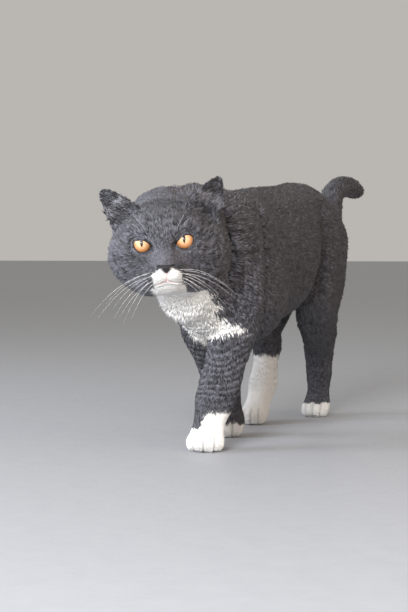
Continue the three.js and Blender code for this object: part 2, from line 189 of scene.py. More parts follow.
# Lighter and darker marks of the face, some of them painted light and shade: middle and radii in the head
# frame, and how much lighter.
FACE_MARKS_AND_PAINTED_LIGHT = (
    ((-23, -2, -13), (9, 14, 5), -0.40),    # the smudge below the right eye
    ((16, -1, 16), (2.6, 10, 8), -0.30),    # the streak above the left eye's inner corner
    ((-13, 3, 20), (2.0, 10, 8), -0.20),    # the same above the right eye
    ((11, -7, -6), (3, 8, 9), -0.15),       # left side of the nose's bridge
    ((0, -17, -11), (6.5, 9, 6), 0.55),     # painted light on the bridge above the nose
    ((19, -3, -9.6), (7, 9, 2.4), 0.80),    # pale hair and painted light below the left eye
    ((-17, -5, -8.5), (7, 9, 2.2), 0.55),   # and below the right
    ((-8, -10, -6), (2.6, 8, 8), 0.25),     # painted highlight down the ridge to the right of the bridge
    ((43, 34, 19), (13, 14, 7), -0.35),     # painted shade before the left ear, at the foot of its hollow
    ((-37, 36, 24), (10, 14, 6), -0.25),    # painted shade before the right ear, at the foot of its hollow
    ((-54, 30, 2), (8, 22, 22), 0.35),      # painted rim light along the edge of the right cheek
    ((-48, 20, -28), (9, 20, 9), 0.35),     # painted rim light along the edge of the right jowl
    ((-45, 12, -14), (6, 14, 5), -0.30),    # the dark band between the two
    ((40, 6, -24), (15, 20, 12), -0.20),    # shadowed left cheek
    ((-30, 2, -42), (12, 16, 7), 0.50),     # pale hairs along the right jowl
    ((-33, 3, 5.5), (4, 8, 1.1), -0.50),    # painted shadow of the brows, in dark lines out from the corners of the eyes
    ((35, 4, 5.5), (4, 8, 1.1), -0.50),
    ((-12, -4, -8), (1.8, 8, 3), -0.20),    # dark tear lines
    ((12, -5, -4), (1.8, 8, 3), -0.15),
    ((15, -6, -17), (8, 10, 4), 0.30),      # pale hair beside the nose
)
MARK_STRENGTH = 0.65        # the share of a mark that the coat shows

FROM_EYES_TO_CAMERA = (588.4, -1369.5, -10.0)
CAMERA_DOWN = 2.06          # the camera looks down by this
CAMERA_TURN = 21.63
LENS = 85.0                 # mm, for a frame 36 mm across
FLOOR_HALF = 4e4
SURROUND = ("#e6e2dc", 0.62)    # colour and strength of the light from all sides
# Soft boxes: name, place and target in metres, side in metres, power in watts and colour.
SOFT_BOXES = (
    ("key", (0.15, -2.6, 1.1), (0, -0.25, 0.15), 0.8, 72, "#f7f8ff"),
    ("low_front", (0.5, -2.3, 0.35), (0, -0.2, 0.12), 1.6, 40, "#fbfaf6"),
    ("window", (-1.8, -1.2, 0.9), (0, -0.2, 0.2), 1.0, 34, "#e9efff"),
    ("fill", (2.2, -0.6, 1.0), (0, 0, 0.15), 1.2, 10, "#ffc08a"),
)

# ------------------------------------------------------------------ plain helpers


def unit(vectors):
    """Rows of an array brought to length one."""
    lengths = np.linalg.norm(vectors, axis=-1, keepdims=True)
    return vectors / np.maximum(lengths, 1e-9)


def ramp(values, low, high):
    """0 before low, 1 past high and a soft step between; low may be the larger."""
    t = np.clip((np.asarray(values, float) - low) / (high - low), 0.0, 1.0)
    return t * t * (3.0 - 2.0 * t)


def mound(points, centre, radii):
    """A soft bump of height 1 at the centre that dies away past its radii."""
    return np.exp(-(((points - np.array(centre)) / np.array(radii)) ** 2).sum(1))


def bell(values, half, middle=0.0):
    """1 at the middle, dying away past the half width on both sides."""
    return np.exp(-((values - middle) / half) ** 2)


def lumps(points, size, seed):
    """Smooth noise from 0 to 1 whose lumps are about this size."""
    grid = np.random.default_rng(seed).random((32, 32, 32))
    place = points / size + 1000.0
    cell = np.floor(place).astype(int)
    part = place - cell
    part = part * part * (3.0 - 2.0 * part)
    total = np.zeros(len(points))
    for corner in np.ndindex(2, 2, 2):
        share = np.prod(np.where(corner, part, 1.0 - part), axis=1)
        at = (cell + corner) % 32
        total += share * grid[at[:, 0], at[:, 1], at[:, 2]]
    return total


def closed_curve(points, steps):
    """A smooth closed curve through points of a plane, with so many steps between each two."""
    knots = np.array(points, float)
    before = np.roll(knots, 1, 0)
    after = np.roll(knots, -1, 0)
    beyond = np.roll(knots, -2, 0)
    curve = []
    for t in np.arange(steps) / steps:
        first = (after - before) * t
        second = (2 * before - 5 * knots + 4 * after - beyond) * t ** 2
        third = (3 * knots - before - 3 * after + beyond) * t ** 3
        curve.append((2 * knots + first + second + third) / 2)
    return np.stack(curve, 1).reshape(-1, 2)


def from_line(points, line):
    """Distance of points from a line of straight lengths."""
    nearest = np.full(len(points), np.inf)
    for a, b in zip(np.array(line, float), np.array(line[1:], float)):
        along = np.clip(((points - a) @ (b - a)) / max((b - a) @ (b - a), 1e-9), 0, 1)
        nearest = np.minimum(nearest, np.linalg.norm(points - a - along[:, None] * (b - a), axis=1))
    return nearest


def outside(points, outline):
    """Distance of points of a plane from a closed outline, negative inside it."""
    closed = np.concatenate([outline, outline[:1]])
    inside = np.zeros(len(points), bool)
    for a, b in zip(closed, closed[1:]):
        crosses = (a[1] > points[:, 1]) != (b[1] > points[:, 1])
        level = (points[:, 1] - a[1]) / ((b[1] - a[1]) or 1e-9)
        inside ^= crosses & (points[:, 0] < a[0] + level * (b[0] - a[0]))
    nearest = from_line(points, closed)
    return np.where(inside, -nearest, nearest)


def placed(name, data):
    """A new object of the scene, at the origin."""
    made = bpy.data.objects.new(name, data)
    bpy.context.scene.collection.objects.link(made)
    return made


def make_object(name, points, faces, material, fields=None):
    """A smooth mesh from points in mm and faces of like size, with float fields on its points."""
    mesh = bpy.data.meshes.new(name)
    faces = np.asarray(faces, np.int32)
    count, corners = faces.shape
    mesh.vertices.add(len(points))
    mesh.vertices.foreach_set("co", (np.asarray(points) * MM).astype(np.float32).ravel())
    mesh.loops.add(count * corners)
    mesh.loops.foreach_set("vertex_index", faces.ravel())
    mesh.polygons.add(count)
    mesh.polygons.foreach_set("loop_start", np.arange(count, dtype=np.int32) * corners)
    mesh.update(calc_edges=True)
    mesh.polygons.foreach_set("use_smooth", np.ones(count, bool))
    for field, values in (fields or {}).items():
        layer = mesh.attributes.new(field, "FLOAT", "POINT")
        layer.data.foreach_set("value", np.asarray(values, np.float32))
    mesh.materials.append(material)
    return placed(name, mesh)


def from_modifier(source):
    """The plain mesh that an object's modifiers give; the object itself is removed."""
    bpy.context.view_layer.update()
    graph = bpy.context.evaluated_depsgraph_get()
    mesh = bpy.data.meshes.new_from_object(source.evaluated_get(graph))
    bpy.data.objects.remove(source)
    return mesh


# ------------------------------------------------------------------ the head's own frame

HEAD_AXES = np.array(
    Matrix.Rotation(math.radians(HEAD_YAW), 3, "Z")
    @ Matrix.Rotation(math.radians(HEAD_PITCH), 3, "X")
    @ Matrix.Rotation(math.radians(-HEAD_ROLL), 3, "Y")
)


def ball_middle(side):
    """The middle of an eye's CAD ball, mm."""
    low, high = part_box("eye_" + side)
    return np.array((low + high) / 2) / MM


BALLS = {side: ball_middle(side) for side in SIDES}
BETWEEN_EYES = (BALLS["left"] + BALLS["right"]) / 2 - HEAD_AXES[:, 1] * EYE_DEPTH
LID_OUTLINES = {side: closed_curve(LID_OPENINGS[side], 7) for side in SIDES}


def to_head(points):
    """Row frame to head frame: nose toward -Y, the cat's left toward +X, crown toward +Z."""
    return (np.asarray(points) - BETWEEN_EYES) @ HEAD_AXES


def from_head(points):
    """Head frame to row frame."""
    return np.asarray(points) @ HEAD_AXES.T + BETWEEN_EYES


def on_ball(side, points):
    """Row frame points as outward, up and forward from the middle of an eye's ball."""
    place = (np.asarray(points) - BALLS[side]) @ HEAD_AXES
    return np.stack([place[:, 0] * SIDES[side], place[:, 2], -place[:, 1]], 1)


def off_ball(side, places):
    """The way back from on_ball."""
    place = np.stack([places[:, 0] * SIDES[side], -places[:, 2], places[:, 1]], 1)
    return place @ HEAD_AXES.T + BALLS[side]


def before_eye(side, points):
    """Where points lie on an eye's ball, and how far each is outside the opening of the lids."""
    seen = on_ball(side, points)
    return seen, outside(seen[:, :2], LID_OUTLINES[side])


def up_ear(side, points):
    """How far up its ear each point is, from the ear's root along its lean."""
    place = to_head(points)
    lean = math.radians(EAR_LEAN[side])
    out = place[:, 0] * SIDES[side] - EAR_ROOT[side]
    return out * math.sin(lean) + (place[:, 2] - EAR_FOOT) * math.cos(lean)


# ------------------------------------------------------------------ materials


def linear(code):
    """An sRGB hex colour as linear red, green, blue and alpha."""
    parts = [int(code[i:i + 2], 16) / 255 for i in (1, 3, 5)]
    return tuple(c / 12.92 if c <= 0.04045 else ((c + 0.055) / 1.055) ** 2.4 for c in parts) + (1.0,)


def add(tree, kind, inputs=None, **settings):
    """Adds a node with its settings; inputs gives each socket a value or another node's output."""
    made = tree.nodes.new(kind)
    for name, value in settings.items():
        setattr(made, name, value)
    for name, value in (inputs or {}).items():
        if isinstance(value, bpy.types.NodeSocket):
            tree.links.new(value, made.inputs[name])
        else:
            made.inputs[name].default_value = value
    return made


def new_material(name):
    """A material with an empty node tree."""
    material = bpy.data.materials.new(name)
    material.use_nodes = True
    material.node_tree.nodes.clear()
    return material


def hair_colour(tree, roots, tips):
    """Blue or white by the marking, darker at the root than the tip, and by its own tone."""
    marking, along, tone = (
        add(tree, "ShaderNodeAttribute", attribute_name=field).outputs["Fac"]
        for field in ("white", "tip", "tone")
    )
    blue, white = (
        add(tree, "ShaderNodeMix", {0: along, 6: linear(root), 7: linear(tip)}, data_type="RGBA").outputs[2]
        for root, tip in zip(roots, tips)
    )
    both = add(tree, "ShaderNodeMix", {0: marking, 6: blue, 7: white}, data_type="RGBA")
    bright = add(tree, "ShaderNodeMapRange", {"Value": tone, "To Min": 0.15, "To Max": 1.95})
    return add(tree, "ShaderNodeHueSaturation", {"Color": both.outputs[2], "Value": bright.outputs[0]})


def guard_hair():
    """Cat guard hair: matt keratin, slate at the root and silvered at the tip, or white with an ivory root;
    the near-black of the blue root is partly painted shade deep in the coat.

    The eye sees dark gaps between pale points and a faint bloom at grazing angles.
    """
    material = new_material("guard_hair")
    tree = material.node_tree
    # the blue root's near-black is partly painted shade deep in the coat
    colour = hair_colour(tree, ("#0e0d10", "#efece5"), ("#64646b", "#f8f7f4"))
    place = add(tree, "ShaderNodeTexCoord").outputs["Object"]
    # hairs are 0.03 mm thick; the strands are drawn 0.7 mm apart so that they show
    strand = add(tree, "ShaderNodeTexNoise", {"Vector": place, "Scale": 1400.0, "Detail": 2.0})
    bump = add(tree, "ShaderNodeBump", {"Height": strand.outputs[0], "Strength": 0.35, "Distance": 0.0003})
    rough = add(tree, "ShaderNodeMapRange", {"Value": strand.outputs[0], "To Min": 0.52, "To Max": 0.82})
    shader = add(tree, "ShaderNodeBsdfPrincipled", {
        "Base Color": colour.outputs[0], "Roughness": rough.outputs[0], "Normal": bump.outputs[0],
        "Specular IOR Level": 0.3, "Sheen Weight": 0.12, "Sheen Roughness": 0.5,
    })
    add(tree, "ShaderNodeOutputMaterial", {"Surface": shader.outputs[0]})
    return material


def undercoat():
    """The woolly undercoat, darker and duller than the guard hair, its darkness partly painted shade deep
    in the coat, with pink lips and dusky bare ears.
    """
    material = new_material("undercoat")
    tree = material.node_tree
    # dark blue wool, partly painted shade deep in the coat
    colour = hair_colour(tree, ("#121114", "#ebe8e0"), ("#28272b", "#f8f6f1"))
    place = add(tree, "ShaderNodeTexCoord").outputs["Object"]
    lip = add(tree, "ShaderNodeAttribute", attribute_name="lip").outputs["Fac"]
    lining = add(tree, "ShaderNodeAttribute", attribute_name="ear_lining").outputs["Fac"]
    # wool fibres are 0.01 mm thick; they are drawn as 1 mm flecks so that they show
    wool = add(tree, "ShaderNodeTexNoise", {"Vector": place, "Scale": 900.0, "Detail": 3.0})
    fleck = add(tree, "ShaderNodeMapRange", {"Value": wool.outputs[0], "To Min": 0.7, "To Max": 1.3})
    woolly = add(tree, "ShaderNodeHueSaturation", {"Color": colour.outputs[0], "Value": fleck.outputs[0]})
    eared = add(tree, "ShaderNodeMix", {
        0: lining, 6: woolly.outputs[0], 7: linear("#372d30"),
    }, data_type="RGBA")
    lipped = add(tree, "ShaderNodeMix", {
        0: lip, 6: eared.outputs[2], 7: linear("#ecc4c1"),
    }, data_type="RGBA")
    bump = add(tree, "ShaderNodeBump", {"Height": wool.outputs[0], "Strength": 0.6, "Distance": 0.0006})
    rough = add(tree, "ShaderNodeMapRange", {"Value": lip, "To Min": 0.85, "To Max": 0.45})
    shader = add(tree, "ShaderNodeBsdfPrincipled", {
        "Base Color": lipped.outputs[2], "Roughness": rough.outputs[0], "Normal": bump.outputs[0],
        "Specular IOR Level": 0.25, "Sheen Weight": 0.08,
    })
    add(tree, "ShaderNodeOutputMaterial", {"Surface": shader.outputs[0]})
    return material


def copper_eye():
    """A cat's eye: copper iris with fine rays, a black slit and a dark edge under a wet, glossy cornea."""
    material = new_material("copper_eye")
    tree = material.node_tree
    across, above = (
        add(tree, "ShaderNodeAttribute", attribute_name=field).outputs["Fac"]
        for field in ("across", "above")
    )
    spot = add(tree, "ShaderNodeCombineXYZ", {"X": across, "Y": above}).outputs[0]
    radius = add(tree, "ShaderNodeVectorMath", {0: spot}, operation="LENGTH").outputs["Value"]
    angle = add(tree, "ShaderNodeMath", {0: above, 1: across}, operation="ARCTAN2").outputs[0]
    # rays of the iris: about 0.7 mm apart at its rim
    rays_at = add(tree, "ShaderNodeCombineXYZ", {
        "X": add(tree, "ShaderNodeMath", {0: angle}, operation="SINE").outputs[0],
        "Y": add(tree, "ShaderNodeMath", {0: angle}, operation="COSINE").outputs[0],
        "Z": add(tree, "ShaderNodeMath", {0: radius, 1: 0.04}, operation="MULTIPLY").outputs[0],
    }).outputs[0]
    rays = add(tree, "ShaderNodeTexNoise", {"Vector": rays_at, "Scale": 14.0, "Detail": 3.0})
    from_pupil = add(tree, "ShaderNodeMapRange", {"Value": radius, "From Min": 4.0, "From Max": 9.0})
    band = add(tree, "ShaderNodeMix", {
        0: from_pupil.outputs[0], 6: linear("#dfb186"), 7: linear("#a4652c"),
    }, data_type="RGBA")
    ray_light = add(tree, "ShaderNodeMapRange", {"Value": rays.outputs[0], "To Min": 0.75, "To Max": 1.3})
    iris = add(tree, "ShaderNodeHueSaturation", {"Color": band.outputs[2], "Value": ray_light.outputs[0]})
    edge = add(tree, "ShaderNodeMapRange", {
        "Value": radius, "From Min": IRIS_RADIUS - IRIS_EDGE, "From Max": IRIS_RADIUS,
    }).outputs[0]
    rimmed = add(tree, "ShaderNodeMix", {
        0: edge, 6: iris.outputs[0], 7: linear("#2c1a12"),
    }, data_type="RGBA")
    # the slit: across / half width + (above / half height) squared stays under 1 inside it
    wide = add(tree, "ShaderNodeMath", {0: across}, operation="ABSOLUTE").outputs[0]
    wide = add(tree, "ShaderNodeMath", {0: wide, 1: PUPIL_HALF[0]}, operation="DIVIDE").outputs[0]
    high = add(tree, "ShaderNodeMath", {0: above, 1: PUPIL_HALF[1]}, operation="DIVIDE").outputs[0]
    high = add(tree, "ShaderNodeMath", {0: high, 1: high}, operation="MULTIPLY").outputs[0]
    reach = add(tree, "ShaderNodeMath", {0: wide, 1: high}, operation="ADD").outputs[0]
    past_slit = add(tree, "ShaderNodeMapRange", {"Value": reach, "From Min": 0.85, "From Max": 1.05})
    slit = add(tree, "ShaderNodeMix", {
        0: past_slit.outputs[0], 6: linear("#060505"), 7: rimmed.outputs[2],
    }, data_type="RGBA")
    depth = add(tree, "ShaderNodeBump", {"Height": rays.outputs[0], "Strength": 0.2, "Distance": 0.0002})
    shader = add(tree, "ShaderNodeBsdfPrincipled", {
        "Base Color": slit.outputs[2], "Roughness": 0.35, "Normal": depth.outputs[0],
        "Specular IOR Level": 0.2, "Coat Weight": 1.0, "Coat Roughness": 0.03, "Coat IOR": 1.38,
    })
    add(tree, "ShaderNodeOutputMaterial", {"Surface": shader.outputs[0]})
    return material


def speckled(name, dark, light, spot, roughness, depth, coat=0.0):
    """Bare skin, horn or paint in two tones of one colour, with grain of a given size in mm."""
    material = new_material(name)
    tree = material.node_tree
    place = add(tree, "ShaderNodeTexCoord").outputs["Object"]
    grain = add(tree, "ShaderNodeTexVoronoi", {"Vector": place, "Scale": 1 / (spot * MM)})
    cloud = add(tree, "ShaderNodeTexNoise", {"Vector": place, "Scale": 1 / (6 * spot * MM), "Detail": 3.0})
    colour = add(tree, "ShaderNodeMix", {
        0: cloud.outputs[0], 6: linear(dark), 7: linear(light),
    }, data_type="RGBA")
    bump = add(tree, "ShaderNodeBump", {
        "Height": grain.outputs[0], "Strength": 0.5, "Distance": depth * MM,
    })
    rough = add(tree, "ShaderNodeMapRange", {
        "Value": grain.outputs[0], "To Min": roughness - 0.08, "To Max": roughness + 0.12,
    })
    shader = add(tree, "ShaderNodeBsdfPrincipled", {
        "Base Color": colour.outputs[2], "Roughness": rough.outputs[0], "Normal": bump.outputs[0],
        "Coat Weight": coat, "Coat Roughness": 0.15,
    })
    add(tree, "ShaderNodeOutputMaterial", {"Surface": shader.outputs[0]})
    return material


GUARD_HAIR = guard_hair()
UNDERCOAT = undercoat()
COPPER_EYE = copper_eye()
# moist skin along the lids, almost black
LID_SKIN = speckled("lid_skin", "#120f11", "#2a2426", 0.5, 0.35, 0.05, coat=0.5)
# nose leather: slate skin in fine cobbles, a little moist
NOSE_LEATHER = speckled("nose_leather", "#0e0c0e", "#211c1f", 0.45, 0.6, 0.10, coat=0.04)
# whisker: stiff white horn with a soft shine
WHISKER = speckled("whisker", "#f4f2ee", "#ffffff", 0.8, 0.35, 0.02)
# studio floor: pale matt paint
FLOOR_PAINT = speckled("floor_paint", "#a3a6aa", "#adb0b3", 4.0, 0.55, 0.02)

# ------------------------------------------------------------------ the skin


def kind_of(node):
    """The row of the coat table that a CAD node belongs to: the longest name found in the node's."""
    return max((kind for kind in COAT if kind in node), key=len)


def by_node(nodes, rule):
    """What a rule says of each point's CAD node."""
    names, place = np.unique(nodes, return_inverse=True)
    return np.array([rule(name) for name in names])[place]


def grown_solids():
    """All solids in one bmesh, each grown a little, and the CAD node of each face."""
    whole = bmesh.new()
    owners = []
    for name in sorted(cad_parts):
        part = bmesh.new()
        part.from_mesh(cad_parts[name].data)
        bmesh.ops.remove_doubles(part, verts=part.verts, dist=0.01 * MM)
        part.normal_update()
        for vert in part.verts:
            vert.co += vert.normal * SEAM_GROWTH * MM
        owners += [name] * len(part.faces)
        grown = bpy.data.meshes.new(name)
        part.to_mesh(grown)
        part.free()
        whole.from_mesh(grown)
        bpy.data.meshes.remove(grown)
    return whole, owners


def refine(body, centre, reach):
    """Halves the edges of a bmesh within a reach of a centre, both in mm."""
    middle = np.array(centre) * MM
    near = {v for v in body.verts if np.linalg.norm(np.array(v.co) - middle) < reach * MM}
    edges = [e for e in body.edges if e.verts[0] in near and e.verts[1] in near]
    bmesh.ops.subdivide_edges(body, edges=edges, cuts=1, use_grid_fill=True)


def remade_body():
    """One closed mesh round all solids, finer on the face: points, triangles and each point's node."""
    whole, owners = grown_solids()
    tree = BVHTree.FromBMesh(whole)
    mesh = bpy.data.meshes.new("solids")
    whole.to_mesh(mesh)
    whole.free()
    solids = placed("solids", mesh)
    remesh = solids.modifiers.new("one_skin", "REMESH")
    remesh.mode = "VOXEL"
    remesh.voxel_size = SKIN_VOXEL * MM
    even = from_modifier(solids)
    body = bmesh.new()
    body.from_mesh(even)
    bpy.data.meshes.remove(even)
    refine(body, from_head(FACE_MIDDLE), FACE_REACH)
    for side, out in SIDES.items():
        ear = ((EAR_ROOT[side] + EAR_MIDDLE[0]) * out, EAR_MIDDLE[1], EAR_MIDDLE[2])
        refine(body, from_head(ear), EAR_REACH)
    for out in SIDES.values():
        refine(body, from_head((EYE_MIDDLE * out, 0, 0)), EYE_REACH)
    refine(body, from_head(MOUTH_MIDDLE), MOUTH_REACH)
    for x, y, _, _ in PAWS.values():
        refine(body, (x, y, PAW_HEIGHT), PAW_REACH)
    bmesh.ops.triangulate(body, faces=body.faces)
    points = np.array([v.co for v in body.verts]) / MM
    body.verts.index_update()
    triangles = np.array([[v.index for v in face.verts] for face in body.faces])
    nodes = np.array([owners[tree.find_nearest(v.co)[2]] for v in body.verts])
    body.free()
    return points, triangles, nodes


def edges_of(triangles):
    """Each edge of a triangle mesh once."""
    pairs = np.concatenate([triangles[:, [0, 1]], triangles[:, [1, 2]], triangles[:, [2, 0]]])
    return np.unique(np.sort(pairs, axis=1), axis=0)


def averaged(values, edges, times, share=1.0):
    """Values on a mesh's points, moved so many times by a share toward the mean of their neighbours."""
    values = np.asarray(values, float)
    columns = values.reshape(len(values), -1).copy()
    size = len(columns)
    a, b = edges.T
    count = np.bincount(edges.ravel(), minlength=size)[:, None]
    share = np.broadcast_to(np.reshape(share, (-1, 1)), (size, 1))
    for _ in range(times):
        sums = [np.bincount(a, c[b], size) + np.bincount(b, c[a], size) for c in columns.T]
        columns += share * (np.stack(sums, 1) / count - columns)
    return columns.reshape(values.shape)


def face_normals(points, triangles):
    """Each triangle's outward direction, twice as long as the triangle is large."""
    corner = points[triangles]
    return np.cross(corner[:, 1] - corner[:, 0], corner[:, 2] - corner[:, 0])


def normals_of(points, triangles):
    """Each point's outward direction."""
    face = face_normals(points, triangles)
    total = np.zeros_like(points)
    for column in range(3):
        for axis in range(3):
            total[:, axis] += np.bincount(triangles[:, column], face[:, axis], len(points))
    return unit(total)


def coat_fields(points, nodes, edges):
    """Length, width, standing angle, gathering and ripple of the coat at each point of the skin."""
    fields = averaged(by_node(nodes, lambda node: COAT[kind_of(node)]), edges, 14)
    place = to_head(points)
    on_head = np.isin(by_node(nodes, kind_of), ("head", "nose", "eye"))
    from_nose = np.linalg.norm(place - np.array([MIDLINE, -18, -22]), axis=1)
    face = np.array(FACE_COAT) + np.array(FACE_COAT_GROWTH) * ramp(from_nose, 8, 75)[:, None]
    blend = averaged(on_head.astype(float), edges, 6)[:, None]
    fields = fields * (1 - blend) + face * blend
    # shortest and flattest beside the nose leather
    beside = ramp(nose_edge(place[:, 0] - MIDLINE, place[:, 2]), 5.0, 1.0) * ramp(place[:, 1], -6, -12)
    for column, value in zip((0, 2), BESIDE_NOSE):
        fields[:, column] += beside * (value - fields[:, column])
    for side in SIDES:
        seen, past = before_eye(side, points)
        close = ramp(past, 7.0, 1.0) * ramp(seen[:, 2], 0, 4)
        for column, value in zip((0, 1), ROUND_LIDS):
            fields[:, column] += close * (value - fields[:, column])
    return fields


def folded(points, normals):
    """Folds of the loose skin pressed in along their lines, each with a soft ridge beside it."""
    for line, depth, half in FOLDS:
        far = from_line(points, line)
        press = bell(far, half) - 0.3 * bell(far, half, 2.2 * half)
        points = points - normals * (depth * press)[:, None]
    return points


def between_toes(points, nodes):
    """1 in the three clefts between the toes of each paw."""
    cleft = np.zeros(len(points))
    for leg, (x, y, yaw, width) in PAWS.items():
        turn = math.radians(yaw)
        away = points[:, :2] - np.array([x, y])
        across = away[:, 0] * math.cos(turn) + away[:, 1] * math.sin(turn)
        ahead = away[:, 0] * math.sin(turn) - away[:, 1] * math.cos(turn)
        # the clefts fan out a little toward the toes' tips
        apart = TOES_APART * width / 40 * (1 + 0.012 * ahead)
        line = np.min([np.abs(across - k * apart) for k in (-1, 0, 1)], axis=0)
        mark = bell(line, 1.1) * ramp(ahead, 2, 9) * ramp(points[:, 2], 25, 17)
        cleft = np.where(np.char.startswith(nodes, leg), mark, cleft)
    return cleft


def shaped_lids(points):
    """The skin round each eye drawn onto its ball, open between the lids, with a crease round them."""
    points = points.copy()
    for side in SIDES:
        near = np.linalg.norm(points - BALLS[side], axis=1) < 30
        seen, past = before_eye(side, points[near])
        flat = (seen[:, :2] ** 2).sum(1)
        # the lids are thinnest at their edge
        thick = LID_THICKNESS * (0.55 + 0.45 * ramp(past, 0, 1.2))
        lid = np.sqrt(np.maximum((EYEBALL_RADIUS + thick) ** 2 - flat, 20.0))
        # between them the skin goes down behind the front of the ball
        behind = np.sqrt(np.maximum(EYEBALL_RADIUS ** 2 - flat, 16.0)) - 3.5
        lid = lid + (behind - lid) * ramp(past, 0.0, -0.9)
        crease = bell(past, 0.9, LID_CREASE)
        weight = ramp(past, 6.0, 1.4) * ramp(seen[:, 2], -2, 3)
        above = crease * ramp(seen[:, 1], 0, 4)
        below = crease * ramp(seen[:, 1], 0, -4)
        seen[:, 2] += weight * (lid - seen[:, 2]) - 0.4 * above - 0.1 * below
        points[near] = off_ball(side, seen)
    return points


def soft_max(first, second, rounding):
    """The larger of two distances, with the corner where they meet rounded."""
    first, second = (np.exp(np.clip(distance, -30, 30) / rounding) for distance in (first, second))
    return rounding * np.log(first + second)


def nose_edge(across, up):
    """Distance outside the rounded triangle of the nose leather as seen from in front."""
    run = np.array([NOSE_HALF_WIDTH, NOSE_TOP - NOSE_POINT])
    out = np.array([run[1], -run[0]]) / np.linalg.norm(run)
    flank = (np.abs(across) - NOSE_HALF_WIDTH) * out[0] + (up - NOSE_TOP) * out[1]
    return soft_max(flank, up - NOSE_TOP, 0.5)


def nose_front(across, up):
    """How far forward the nose leather's face comes, in the head frame."""
    return NOSE_FRONT + 0.034 * across ** 2 - 0.2 * (up + 21)


def mouth_level(across):
    """Height of the line between the lips, in the head frame, by the distance from the midline."""
    return MOUTH_HEIGHT - MOUTH_DROP * (np.abs(across) / MOUTH_HALF_WIDTH) ** 1.3


def shaped_muzzle(points):
    """Full whisker pads, the cleft under the nose, the line of the mouth and a bed for the nose."""
    place = to_head(points)
    across = place[:, 0] - MIDLINE
    front = ramp(place[:, 1], 4, -6)
    pads = sum(mound(place, (MIDLINE + out, -14, -30.5), (7, 9, 5)) for out in (8, -8))
    cleft = bell(across, 0.8) * ramp(place[:, 2], -24, -27) * ramp(place[:, 2], -35.5, -34)
    lips = bell(place[:, 2] - mouth_level(across), 0.9) * ramp(np.abs(across), 16, 12)
    place[:, 1] += front * (-2.3 * pads + 0.8 * cleft + 1.3 * lips)
    beside = nose_edge(across, place[:, 2])
    # the skin falls back a little along the slanting sides of the leather
    slope = bell(beside, 1.6, 1.2) * ramp(place[:, 2], NOSE_TOP - 0.5, NOSE_TOP - 2.5)
    place[:, 1] += 1.1 * front * slope
    bed = ramp(beside, 1.4, -0.2) * front
    place[:, 1] += bed * (nose_front(across, place[:, 2]) + 1.6 - place[:, 1])
    return from_head(place)


# ------------------------------------------------------------------ markings


def white_marking(points, nodes, lining):
    """1 where the coat is white, 0 where it is blue; the hair in the ears is a little paler than blue."""
    ragged = 5.0 * (lumps(points, 5.0, 21) - 0.5) + 3.0 * (lumps(points, 2.0, 22) - 0.5)
    place = to_head(points)
    across = np.abs(place[:, 0] - MIDLINE)
    # on the muzzle the white spreads from the sides of the nose down to the corners of the mouth
    edge = 6.0 + 8.5 * ramp(place[:, 2], -20, -28)
    muzzle = ramp(edge - across + 0.35 * ragged, -2.6, 2.0) * ramp(place[:, 2] + 0.2 * ragged, -19, -20.5)
    muzzle = muzzle * ramp(place[:, 1], 12, 6)
    under = ramp(17 - across + 0.6 * ragged, -1, 1) * ramp(place[:, 2] + 0.5 * ragged, -40, -43)
    on_head = np.isin(nodes, ("head", "nose"))
    on_ear = np.char.startswith(nodes, "ear") | np.char.startswith(nodes, "eye")
    past_bib = outside(points[:, [0, 2]] + 0.6 * ragged[:, None], closed_curve(BIB_OUTLINE, 4))
    bib = ramp(past_bib, 3.5, -3.5) * ramp(points[:, 1], BIB_BACK + 4, BIB_BACK - 4)
    # on the head itself only the throat under the jaw belongs to the bib
    bib = np.where(on_head, bib * ramp(place[:, 2], -41, -46) * ramp(place[:, 0], -20, -12), bib)
    white = np.maximum(np.where(on_head, np.maximum(muzzle, under), 0.0), np.where(on_ear, 0.0, bib))
    for leg, top in SOCK_TOP.items():
        on_leg = np.char.startswith(nodes, leg)
        dip = SOCK_DIP * ramp(points[:, 0] + ragged, 17, 8) if leg == "fore_left" else 0.0
        sock = ramp(points[:, 2] + 0.7 * ragged, top - dip + 1.5, top - dip - 1.5)
        white = np.where(on_leg, np.maximum(white, sock), white)
    for side in SIDES:
        up = up_ear(side, points)
        band = ramp(up, 4, 10) * ramp(up, 25, 18)
        white = np.where(nodes == "ear_" + side, 0.06 * lining * band, white)
    return white


